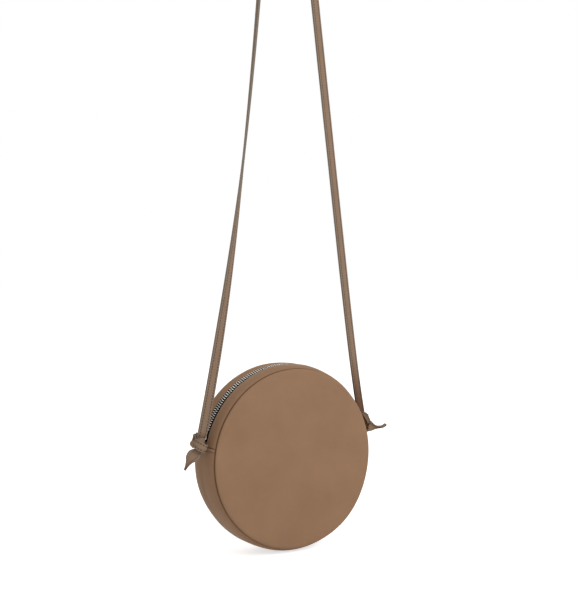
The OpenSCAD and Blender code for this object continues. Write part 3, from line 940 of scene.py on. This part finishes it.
class SliderOperator(bpy.types.Operator):
    """Makes the zip's slider, its bail and its pull"""

    bl_idname = "circle_bag.slider"
    bl_label = "Slider and Pull"

    def execute(self, context):
        bar = [j for j in frame["joints"] if j["name"] == "pull_flip"][0]["pos_m"]
        self.turn = angle_of(Vector(bar))
        self.bar_r = (Vector(bar) - CENTRE).length
        self.body()
        self.bail()
        self.pull()
        return {"FINISHED"}

    def place(self, radius, y, along):
        """A point from its distance to the bag's axis, Y and distance along the zip."""
        return polar(radius, y, self.turn + arc_deg(along, SEWN_R))

    def plate(self, bm, radius):
        """One shaped plate, whose long sides turn towards the tape."""
        half, wide, narrow = 5.5 * MM, 4.2 * MM, 3.55 * MM
        side = [(-half + 0.2 * MM, wide * 0.55), (-half + 1.3 * MM, wide), (-1.2 * MM, wide),
                (2.2 * MM, narrow + 0.2 * MM), (half - 0.9 * MM, narrow), (half, narrow * 0.62)]
        outline = [(-half, 0)] + side + [(s, -y) for s, y in reversed(side)]
        verts = [bm.verts.new(self.place(radius, y, s)) for s, y in outline]
        grown = bmesh.ops.extrude_face_region(bm, geom=[bm.faces.new(verts)])["geom"]
        top = [g for g in grown if isinstance(g, bmesh.types.BMVert)]
        for v in top:
            v.co += outward(v.co) * SLIDER_T
        edges = [e for e in bm.edges if all(v in verts + top for v in e.verts)
                 and any(len(f.verts) > 4 for f in e.link_faces)]
        bmesh.ops.bevel(bm, geom=edges, offset=0.28 * MM, affect="EDGES", segments=3,
                        profile=0.5, material=-1)
        lip_r = radius + SLIDER_T / 2
        for side in (-1, 1):
            lip = [self.place(lip_r, side * y, s) for y, s in (
                (wide - 0.35 * MM, -4.0 * MM), (wide - 0.35 * MM, -1.0 * MM),
                (narrow - 0.2 * MM, 4.0 * MM))]
            rod(bm, lip, Y_WAY, 0.6 * MM, SLIDER_LIP)

    def body(self):
        """Two plates round the chain, joined by a post whose section is a diamond."""
        bm = bmesh.new()
        top = TEETH_TOP_R + SLIDER_PLAY
        low = TEETH_TOP_R - TOOTH_HEIGHT - SLIDER_PLAY - SLIDER_T
        self.plate(bm, top)
        self.plate(bm, low)
        post = [self.place(r + SLIDER_T / 2, 0, -4.3 * MM) for r in (low, top)]
        rod(bm, post, Y_WAY, 0.7 * MM, 1.5 * MM, [(1, 0), (0, 1), (-1, 0), (0, -1)])
        finish_piece(bm, "slider_body_metal", "metal", "slider", ["slider_body"], "crisp")

    def bail(self):
        """A strap of metal bent over the plate, for the pull to hang in."""
        bm = bmesh.new()
        thick = 0.9 * MM
        top = TEETH_TOP_R + 1.2 * MM
        rise = self.bar_r + 0.65 * MM + thick / 2 - top
        points = []
        for a in range(0, 181, 12):
            turn = math.radians(a)
            points.append(self.place(top + rise * math.sin(turn) ** 0.7, 0,
                                     2.6 * MM * math.cos(turn)))
        rod(bm, points, Y_WAY, 2.2 * MM, thick, rounded_section(0.35))
        finish_piece(bm, "slider_bail_metal", "metal", "slider", ["slider_bail"], "crisp")

    def pull(self):
        """A crossbar, two arms and a tongue with a round hole, cast in one."""
        bm = bmesh.new()
        out = outward(polar(1, 0, self.turn))
        place = basis(Vector((-out.z, 0, out.x)), Y_WAY, out, CENTRE + out * self.bar_r)
        half, waist, arm, hole = 2.8 * MM, 2.1 * MM, 0.95 * MM, 1.1 * MM
        end = PULL_LENGTH - half
        side = [(0.0, half), (3.2 * MM, half), (4.6 * MM, waist + 0.15 * MM), (6.2 * MM, waist)]
        slot = [(0.0, half - arm), (2.2 * MM, half - arm), (2.2 * MM, arm - half),
                (0.0, arm - half)]
        outline = [(s, -y) for s, y in side] + arc(end, 0, half, half, range(-75, 76, 15))
        outline += side[::-1] + slot
        edges = []
        for points in (outline, arc(end, 0, hole, hole, range(0, 360, 30))):
            rim = [bm.verts.new(place @ Vector((s, y, -PULL_T / 2))) for s, y in points]
            edges += [bm.edges.new(pair) for pair in zip(rim, rim[1:] + rim[:1])]
        filled = bmesh.ops.triangle_fill(bm, use_beauty=True, edges=edges)["geom"]
        faces = [f for f in filled if isinstance(f, bmesh.types.BMFace)]
        grown = bmesh.ops.extrude_face_region(bm, geom=faces, use_keep_orig=True)["geom"]
        top = [g for g in grown if isinstance(g, bmesh.types.BMVert)]
        bmesh.ops.translate(bm, verts=top, vec=out * PULL_T)
        bmesh.ops.recalc_face_normals(bm, faces=bm.faces)
        sharp = [e for e in bm.edges if len(e.link_faces) == 2
                 and e.calc_face_angle() > math.radians(60)
                 and abs((e.verts[0].co - e.verts[1].co).dot(out)) < 0.5 * MM]
        bmesh.ops.bevel(bm, geom=sharp, offset=0.22 * MM, affect="EDGES", segments=2,
                        profile=0.5, material=-1)
        rod(bm, [place @ Vector((0, y, 0)) for y in (-half, half)], out, PULL_T, PULL_T)
        finish_piece(bm, "pull_tab_metal", "metal", "pull", ["pull_tab"], "crisp")


# The strap

HOOK_R = 12 * MM
BEND_DEG = 84
RUN_STEPS = 96
# How the runs spread, by side: straight, bowed and flared shares of the way out to the knot
SPREAD_SHARES = {-1: (0.635, 0.377, -0.012), 1: (0.944, 0.012, 0.044)}
BOW_POWER, FLARE_POWER = 2, 12
# The right run twists at once below the bend. The left one twists all along, and more low down
RIGHT_TURN, RIGHT_TWIST_SHARE = 76, 0.3
LEFT_TURN, LEFT_TWIST_SHARE = 45, 0.45
# Where each run ends, by side: how far out, forward and up its knot is, and the run's end above it
KNOTS = {
    -1: (104.5 * MM, -10 * MM, CENTRE.z + 24 * MM),
    1: (102.2 * MM, 0.0, CENTRE.z + 32.5 * MM),
}
KNOT_HALVES = {-1: 3.5 * MM, 1: 1 * MM}
# The left run is pinched at its knot, and the right one has painted shade, darker towards its knot
PINCH_SHARE, PINCH_REACH = 0.18, 15 * MM
SHADE_SHARE, SHADE_REACH = 0.85, 85 * MM
# How far out from the strap's middle its rows of stitches lie, as a share of its half width
ROW_SHARE = 0.6


def strap_section():
    """Two layers of leather glued and sewn near both edges: it dips along the stitches, swells
    between them, and a groove runs round its edge between the layers."""
    edge = [(0.97, 0.06), (1.0, 0.3), (1.0, 0.62), (0.98, 0.85)]
    top = [(0.93, 0.98), (0.8, 1.02), (0.7, 0.92), (ROW_SHARE, 0.8), (0.5, 0.92), (0.4, 1.02),
           (0.2, 1.08), (0, 1.1)]
    quarter = edge + top
    upper = quarter + [(-a, b) for a, b in reversed(quarter[:-1])]
    return upper + [(-a, -b) for a, b in upper]


def curled_section(curl):
    """The strap's section bent across its width by an angle in degrees, edges towards +b."""
    if abs(curl) < 1:
        return strap_section()
    aspect = sizes().strap_thickness / sizes().strap_width
    half = math.radians(curl) / 2
    made = []
    for a, b in strap_section():
        radius = 1 / half - b * aspect
        made.append((radius * math.sin(a * half), (1 / half - radius * math.cos(a * half)) / aspect))
    return made


def strap_turn(side, share):
    """The angle of the strap's width from +X, in degrees."""
    if side > 0:
        return 90 - RIGHT_TURN * (1 - fade(share, RIGHT_TWIST_SHARE))
    return 90 - LEFT_TURN * (share + 1 - fade(share - 0.5, LEFT_TWIST_SHARE))


def bend_point(deg):
    """A point of the strap's bend over its hook, from its angle past the top."""
    radius = HOOK_R + sizes().strap_thickness / 2
    turn = math.radians(deg)
    return Vector((radius * math.sin(turn), 0, radius * math.cos(turn) - HOOK_R))


def strap_run(side):
    """Points down one run of the strap, from the bend to just above its knot, and the way its
    width lies at each."""
    knot_x, front, knot_z = KNOTS[side]
    x0, _, z0 = bend_point(BEND_DEG)
    straight, bow, flare = SPREAD_SHARES[side]
    points, acrosses = [], []
    for i in range(1, RUN_STEPS + 1):
        share = i / RUN_STEPS * (1 - KNOT_HALVES[side] / (z0 - knot_z))
        spread = share * (straight + bow * share ** BOW_POWER + flare * share ** FLARE_POWER)
        points.append(Vector((side * (x0 + (knot_x - x0) * spread), front * share,
                              z0 + (knot_z - z0) * share)))
        turn = math.radians(strap_turn(side, i / RUN_STEPS))
        acrosses.append(Vector((math.cos(turn), math.sin(turn), 0)))
    return points, acrosses


def strap_mesh():
    """An empty mesh with the marks that shade_strap writes."""
    bm = bmesh.new()
    for name in ("raw", "painted_shade"):
        bm.verts.layers.float.new(name)
    return bm


def shade_strap(bm, rings, raw, groove):
    """Marks the cut edges of a length of strap, and paints shade along the grooves that its stitches pull
    in.
    """
    edge, dark = bm.verts.layers.float["raw"], bm.verts.layers.float["painted_shade"]
    for ring in rings:
        for v, (a, _) in zip(ring, strap_section()):
            v[edge] = raw if abs(a) > 0.95 else 0
            v[dark] = groove if abs(abs(a) - ROW_SHARE) < 0.01 else 0


def stitches_along(frames):
    """Where the stitches lie on both sides of a length of strap, in two rows."""
    places = []
    pitch = sizes().stitch_pitch
    travelled, due = 0.0, pitch
    for here, following in zip(frames, frames[1:]):
        a, b = here.translation, following.translation
        step = (b - a).length
        while travelled + step >= due:
            spot = a.lerp(b, (due - travelled) / step)
            side, face = here.col[0].xyz, here.col[1].xyz
            for across in (-ROW_SHARE, ROW_SHARE):
                for up in (-1, 1):
                    lain = spot + side * across + face * up * 0.86
                    places.append(stitch_place(lain, b - a, face * up, 1.8 * MM, 1.15 * MM))
            due += pitch
        travelled += step
    return places


class StrapOperator(bpy.types.Operator):
    """Makes the long strap, bent over its hook, with its four rows of stitches"""

    bl_idname = "circle_bag.strap"
    bl_label = "Shoulder Strap"

    def execute(self, context):
        left, left_across = strap_run(-1)
        right, right_across = strap_run(1)
        bend = [bend_point(a) for a in range(-BEND_DEG, BEND_DEG + 1, 6)]
        points = left[::-1] + bend + right
        acrosses = left_across[::-1] + [Y_WAY] * len(bend) + right_across
        width, thickness = sizes().strap_width, sizes().strap_thickness
        widths = []
        for p in points:
            pinch = PINCH_SHARE * fade(p.z - KNOTS[-1][2], PINCH_REACH) if p.x < 0 else 0
            p.x -= pinch * width / 2
            widths.append(width * (1 - pinch + 0.02 * noise.noise(p / (60 * MM))))
        frames = frames_along(points, acrosses, widths, [thickness] * len(points))
        bm = strap_mesh()
        shade_strap(bm, sweep(bm, [strap_section()] * len(points), frames), 0.9, 0.3)
        # Painted shade on the right run, darker towards its knot
        dark = bm.verts.layers.float["painted_shade"]
        for v in bm.verts:
            if v.co.x > 0:
                low = fade(abs(v.co.z - KNOTS[1][2]), SHADE_REACH)
                v[dark] = min(1.0, v[dark] + SHADE_SHARE * low)
        finish_piece(bm, "shoulder_strap_leather", "strap", "strap", ["shoulder_strap"])
        finish_piece(sew(stitches_along(frames)), "shoulder_strap_stitches", "thread", "strap")
        return {"FINISHED"}


# Knots and tabs. Their lengths of strap run along stations of (x, y, z, across x, y, z, width,
# thickness), listed in millimetres from the bag's middle

PICTURE_RIGHT = Vector((0.859, -0.511, 0))
TO_CAMERA = Vector((-0.511, -0.859, 0))
RING_STEPS, RING_RISE, RING_SWELL_SHARE = 12, 1.6, 0.14


def wrap_ring(centre, tilt, half, depth, width):
    """Stations of a turn of strap round a knot, tilted to the picture's right. half and depth
    are its half sizes across and along the view."""
    lean = math.radians(tilt)
    up = Vector((0, 0, 1))
    across = up * math.cos(lean) + PICTURE_RIGHT * math.sin(lean)
    run = PICTURE_RIGHT * math.cos(lean) - up * math.sin(lean)
    stations = []
    for i in range(RING_STEPS + 1):
        turn = math.radians(150 + 400 * i / RING_STEPS)
        p = Vector(centre) + run * half * math.cos(turn) + TO_CAMERA * depth * math.sin(turn)
        p += across * (i / RING_STEPS - 0.5) * RING_RISE
        stations.append([*p, *across, width * (1 + RING_SWELL_SHARE * math.sin(turn)), 2.2])
    return stations


class KnotsOperator(bpy.types.Operator):
    """Ties the strap's ends through the loop tabs: bight, wrap and free tail"""

    bl_idname = "circle_bag.knots"
    bl_label = "Knots and Tails"

    def execute(self, context):
        self.left()
        self.right()
        return {"FINISHED"}

    def tie(self, name, parts, hidden=(), sewn=True):
        """Makes lengths of strap one piece, each with its steps from station to station and the
        curl of its two ends. The hidden ones get painted shade all over. The flat ones show their stitches."""
        bm = strap_mesh()
        dark = bm.verts.layers.float["painted_shade"]
        places = []
        for i, (stations, steps, curl_from, curl_to) in enumerate(parts):
            rows = smooth_stations(stations, steps)
            frames = frames_along([CENTRE + Vector(r[:3]) * MM for r in rows],
                                  [Vector(r[3:6]) for r in rows],
                                  [r[6] * MM for r in rows], [r[7] * MM for r in rows])
            last = len(rows) - 1
            sections = [curled_section(curl_from + (curl_to - curl_from) * k / last)
                        for k in range(last + 1)]
            rings = sweep(bm, sections, frames)
            shade_strap(bm, rings, 0.45, 0.5)
            # Painted shade over the whole of a hidden length
            if i in hidden:
                for v in (v for ring in rings for v in ring):
                    v[dark] = 1.0
            elif curl_from == curl_to == 0:
                places += stitches_along(frames)
        finish_piece(bm, name + "_leather", "strap", "strap", [name])
        if sewn:
            finish_piece(sew(places), name + "_stitches", "thread", "strap")

    def left(self):
        ring = wrap_ring((-108, -14.7, 21.2), 28, 6.5, 5, 8)
        standing = [[-104.3, -10, 28.5, 1, 0, 0, 8.8, 2.2], [-105.2, -10.8, 25, 1, 0, 0, 8, 2.4],
                    [-106.6, -12, 21, 0.9, -0.4, 0, 7, 3], [-107.4, -12, 17, 0.9, -0.4, 0, 6, 3]]
        bight = [[-106.5, -9, 17, 0.5, 0, 1, 6, 3], [-107, -6.6, 18.6, 0.3, 0, 1, 5, 3],
                 [-107.2, -3, 20.6, 0.3, 0, 1, 4.4, 3], [-107.2, 3, 20.8, 0.2, 0, 1, 4.4, 3],
                 [-106.8, 5.8, 22, 0.2, -0.6, 0.8, 4.4, 2.6],
                 [-104.8, 5.6, 26, 0.4, -1, 0.2, 4.4, 2.6], [-104.6, 3, 29.4, 0.9, 0, 0.4, 4, 2.4],
                 [-105.8, -2, 30.4, 0.9, 0, 0.2, 4, 2.4], [-106.6, -7, 27, 0.9, 0, 0.2, 5, 3]]
        self.tie("left_knot", [(ring, 5, 0, 0), (standing, 6, 0, 30), (bight, 6, 40, 40)])
        tail = [[-107.6, -12.6, 17, 0.58, -0.34, -0.75, 6, 3.2],
                [-110.6, -12.6, 14.6, 0.58, -0.34, -0.75, 9.6, 3],
                [-114.2, -12.4, 11.6, 0.58, -0.34, -0.75, 13, 3],
                [-117, -11.8, 8.6, 0.6, -0.36, -0.7, 11.5, 2.8],
                [-118.8, -11, 5.2, 0.7, -0.42, -0.55, 7, 2.6],
                [-120.6, -10, 1.2, 0.77, -0.46, -0.4, 4, 2.4],
                [-122.6, -9, -3.2, 0.77, -0.46, -0.4, 2.6, 2]]
        self.tie("left_tail", [(tail, 6, 10, 170)], sewn=False)

    def right(self):
        upper = wrap_ring((104, -0.4, 36.6), 25, 4.6, 2.6, 5.2)
        lower = wrap_ring((104.6, -0.6, 29.5), 20, 4.2, 3, 6.4)
        standing = [[102.3, -0.1, 35, 0.97, 0.24, 0, 9.6, 2.6],
                    [103.4, -0.4, 32, 0.9, 0.4, 0, 7.4, 3.2],
                    [104.6, -1.6, 27.5, 0.6, 0.8, 0.2, 6.5, 3]]
        over = [[103.1, -3.8, 38.6, 0.75, -0.45, 0.5, 4.4, 2.4],
                [105, -4.8, 35.4, 0.75, -0.45, 0.5, 5, 2.4],
                [107, -5.6, 31.4, 0.75, -0.45, 0.5, 4.4, 2.4],
                [108.3, -6.4, 27, 0.75, -0.45, 0.5, 4.6, 2.4]]
        bight = [[105, -3, 27.5, 0.3, 0.4, 1, 6, 3], [106.6, -6, 23.4, 0.4, 0, 1, 5, 3],
                 [107.2, -3.4, 20.8, 0.3, 0, 1, 4.4, 3], [107.2, 3, 20.8, 0.2, 0, 1, 4.4, 3],
                 [107.2, 6.4, 22.6, 0.2, -0.6, 0.8, 5, 3], [106.6, 5.6, 27.2, 0.4, -1, 0.2, 6, 3],
                 [106, 3, 30, 0.9, 0, 0.4, 6.5, 3], [105, 0, 32.5, 0.9, 0, 0.3, 7, 3]]
        self.tie("right_knot", [(upper, 5, 0, 0), (over, 6, 30, 30), (lower, 5, 0, 0),
                                (standing, 6, 0, 30), (bight, 6, 40, 40)], hidden=(2, 3, 4))
        tail = [[106.9, -6.6, 24.6, 0.1, -0.1, 1, 9.5, 3], [108, -7, 24.2, 0.1, -0.1, 1, 11.8, 2.8],
                [110.6, -7.4, 23.6, 0.15, -0.2, 1, 9.4, 2.8],
                [114.6, -7.8, 23.4, 0.1, -0.3, 1, 5.2, 2.8],
                [118.6, -8, 23.2, 0.1, -0.3, 1, 3.2, 2.6], [122.6, -8.2, 23.2, 0, -0.3, 1, 2.4, 2.4],
                [126, -8.2, 23.9, 0, -0.3, 1, 2.1, 2.1], [128.4, -8.2, 25.6, 0, -0.3, 1, 1.8, 1.8]]
        self.tie("right_tail", [(tail, 6, 40, 220)], sewn=False)


class LoopTabsOperator(bpy.types.Operator):
    """Makes the leather loops that leave the side seams, each twisting between bag and strap"""

    bl_idname = "circle_bag.loop_tabs"
    bl_label = "Loop Tabs"

    def execute(self, context):
        for side, name in ((-1, "left"), (1, "right")):
            low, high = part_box(name + "_loop_tab")
            inner = min(abs(corner.x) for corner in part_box(name + "_tab_root"))
            outer = max(abs(low.x), abs(high.x))
            width = high.y - low.y
            t = sizes().leather
            eye_r = (high.z - low.z) / 2 - t / 2
            leave_x = inner + 9 * MM
            apart = t / 2 + CLEAR
            path = [(inner, TAB_Z + apart), (leave_x, TAB_Z + apart)]
            path += arc(outer - eye_r - t / 2, TAB_Z, eye_r, eye_r, range(120, -121, -15))
            path += [(leave_x, TAB_Z - apart), (inner, TAB_Z - apart)]
            bm = bmesh.new()
            rod(bm, [Vector((side * x, 0, z)) for x, z in path], Y_WAY, width, t,
                rounded_section(0.7))
            paint(bm, "raw", lambda p: 0.8 * fade(abs(abs(p.y) - width / 2), 0.3 * MM))
            piece = finish_piece(bm, name + "_loop_tab_leather", "bag", None,
                                 [name + "_loop_tab", name + "_tab_root"])
            root_x = BAND_R * math.cos(sizes().side_seam)
            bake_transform(piece, "bag", "strap", start=(side * (root_x - 1 * MM), 0, TAB_Z),
                     end=(side * (root_x + 5 * MM), 0, TAB_Z))
        return {"FINISHED"}


LINING_T = 0.5 * MM
LINING_RINGS = 12


class LiningOperator(bpy.types.Operator):
    """Makes the cotton lining: two discs, a band and two strips beside the zip"""

    bl_idname = "circle_bag.lining"
    bl_label = "Lining"

    def execute(self, context):
        seam = math.degrees(sizes().side_seam)
        for side, name in ((-1, "lining_front"), (1, "lining_back")):
            low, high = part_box(name)
            near, far = sorted((abs(low.y), abs(high.y)))
            section = [(high.x * i / LINING_RINGS, side * far) for i in range(LINING_RINGS + 1)]
            bm = spin_disc(section + [(high.x, side * near), (0, side * near)])
            lay_cloth(bm)
            finish_piece(bm, name + "_cotton", "lining", "bag", [name], "crisp")
        low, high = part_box("lining_band")
        inner = high.x - LINING_T
        section = [(high.x, low.y), (high.x, high.y), (inner, high.y), (inner, low.y)]
        bm = spin_section(section, 180 - seam, [(180 + 2 * seam, 120)])
        lay_cloth(bm, high.x)
        finish_piece(bm, "lining_band_cotton", "lining", "bag", ["lining_band"], "crisp")
        for side, name in ((-1, "lining_top_front"), (1, "lining_top_back")):
            low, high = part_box(name)
            near, far = sorted((abs(low.y), abs(high.y)))
            sunk = band_radius(near) - (high.z - CENTRE.z)
            ys = [near + (far - near) * share for share in (0, 0.2, 0.4, 0.6, 0.8, 1)]
            top = [(band_radius(y) - sunk, side * y) for y in ys]
            section = top + [(r - LINING_T, y) for r, y in reversed(top)]
            bm = spin_section(section, seam, [(180 - 2 * seam, 100)])
            lay_cloth(bm, TAPE_TOP_R)
            finish_piece(bm, name + "_cotton", "lining", "bag", [name], "crisp")
        return {"FINISHED"}


# The stage

YAW, PITCH = math.radians(30.76), math.radians(1.96)
CAMERA_DISTANCE = 1.2
# The photograph, its focal length and the middle of the bag in it, in pixels
PICTURE_W, PICTURE_H = 578, 600
FOCAL_PX = 1107
BAG_PX = (283.8, 454.9)
SENSOR = 36
FLOOR_SIZE, FLOOR_GAP = 12, 2 * MM
# Each lamp's place from the bag's middle, and its power
LAMPS = {"key": ((0.6, -1.7, 1.4), 25), "fill": ((-1.6, -0.9, 0.5), 1.5),
         "back": ((0.4, 1.7, 1.0), 6)}
LAMP_SIZE = 1.6


def seen_as_white(tree):
    """1 for what the camera sees by itself, in metal or through glass, and 0 for the rest."""
    path = node(tree, "ShaderNodeLightPath")
    seen = path.outputs["Is Camera Ray"]
    for ray in ("Is Glossy Ray", "Is Transmission Ray"):
        seen = node(tree, "ShaderNodeMath", {"operation": "MAXIMUM"}, i0=seen,
                    i1=path.outputs[ray]).outputs[0]
    return seen


class StageOperator(bpy.types.Operator):
    """Adds the camera at the photograph's angle, the floor and soft light"""

    bl_idname = "circle_bag.stage"
    bl_label = "Stage"

    def execute(self, context):
        self.camera(context.scene)
        self.world(context.scene)
        self.floor(context.scene)
        for name, (offset, power) in LAMPS.items():
            self.lamp(context.scene, name, Vector(offset), power)
        context.scene.view_settings.view_transform = "Standard"
        return {"FINISHED"}

    def camera(self, scene):
        ahead = Vector((math.sin(YAW) * math.cos(PITCH), math.cos(YAW) * math.cos(PITCH),
                        -math.sin(PITCH)))
        right = Vector((math.cos(YAW), -math.sin(YAW), 0))
        up = right.cross(ahead)
        across = (BAG_PX[0] - PICTURE_W / 2) / FOCAL_PX * CAMERA_DISTANCE
        rise = -(BAG_PX[1] - PICTURE_H / 2) / FOCAL_PX * CAMERA_DISTANCE
        place = CENTRE - right * across - up * rise - ahead * CAMERA_DISTANCE
        data = bpy.data.cameras.new("camera")
        data.sensor_width = SENSOR
        data.lens = FOCAL_PX / PICTURE_H * SENSOR
        data.clip_start, data.clip_end = 0.05, 30
        camera = bpy.data.objects.new("camera", data)
        camera.matrix_world = basis(right, up, -ahead, place)
        scene.collection.objects.link(camera)
        scene.camera = camera

    def world(self, scene):
        """White to the eye and in metal, and a soft fill elsewhere."""
        world = bpy.data.worlds.new("studio")
        scene.world = world
        world.use_nodes = True
        tree = world.node_tree
        background = tree.nodes["Background"]
        strength = node(tree, "ShaderNodeMapRange", i0=seen_as_white(tree), i3=0.45, i4=1.0)
        tree.links.new(strength.outputs[0], background.inputs["Strength"])
        background.inputs["Color"].default_value = (1, 1, 1, 1)

    def floor(self, scene):
        """Seamless white paper. The eye sees no edge or texture, only the bag's soft shadow."""
        bm = bmesh.new()
        bmesh.ops.create_grid(bm, x_segments=4, y_segments=4, size=FLOOR_SIZE,
                              matrix=Matrix.Translation((0, 0, FLOOR_Z - FLOOR_GAP)))
        mesh = bpy.data.meshes.new("floor")
        bm.to_mesh(mesh)
        bm.free()
        material, tree, shader = new_material("Paper_white_seamless")
        lift = node(tree, "ShaderNodeMath", {"operation": "MULTIPLY"}, i0=seen_as_white(tree), i1=0.66)
        shader.inputs["Base Color"].default_value = (0.9, 0.9, 0.9, 1)
        shader.inputs["Roughness"].default_value = 1.0
        shader.inputs["Specular IOR Level"].default_value = 0.0
        shader.inputs["Emission Color"].default_value = (1, 1, 1, 1)
        tree.links.new(lift.outputs[0], shader.inputs["Emission Strength"])
        mesh.materials.append(material)
        floor = bpy.data.objects.new("floor", mesh)
        scene.collection.objects.link(floor)

    def lamp(self, scene, name, offset, power):
        data = bpy.data.lights.new(name, "AREA")
        data.shape = "DISK"
        data.size = LAMP_SIZE
        data.energy = power
        lamp = bpy.data.objects.new(name, data)
        lamp.location = CENTRE + offset
        lamp.rotation_euler = (-offset).to_track_quat("-Z", "Y").to_euler()
        scene.collection.objects.link(lamp)


class CircleBagPanel(bpy.types.Panel):
    """Lists the steps that build the bag"""

    bl_idname = "VIEW3D_PT_circle_bag"
    bl_label = "Circle Bag"
    bl_space_type = "VIEW_3D"
    bl_region_type = "UI"
    bl_category = "Circle Bag"

    def draw(self, context):
        for group in (context.scene.circle_bag_sizes, context.scene.circle_bag_colours):
            for name in group.__annotations__:
                self.layout.prop(group, name)
        for operator in OPERATORS:
            self.layout.operator(operator.bl_idname)


OPERATORS = [
    StageOperator, FacesOperator, BottomBandOperator, ZipPanelsOperator, ZipTapesOperator,
    ZipTeethOperator, SliderOperator, LiningOperator, StrapOperator, KnotsOperator,
    LoopTabsOperator,
]
CLASSES = [CircleBagSizes, CircleBagColours, *OPERATORS, CircleBagPanel]


def register():
    for cls in CLASSES:
        bpy.utils.register_class(cls)
    bpy.types.Scene.circle_bag_sizes = PointerProperty(type=CircleBagSizes)
    bpy.types.Scene.circle_bag_colours = PointerProperty(type=CircleBagColours)


def unregister():
    del bpy.types.Scene.circle_bag_colours
    del bpy.types.Scene.circle_bag_sizes
    for cls in reversed(CLASSES):
        bpy.utils.unregister_class(cls)


def main():
    register()
    for operator in OPERATORS:
        group, name = operator.bl_idname.split(".")
        getattr(getattr(bpy.ops, group), name)()


if __name__ == "__main__":
    main()
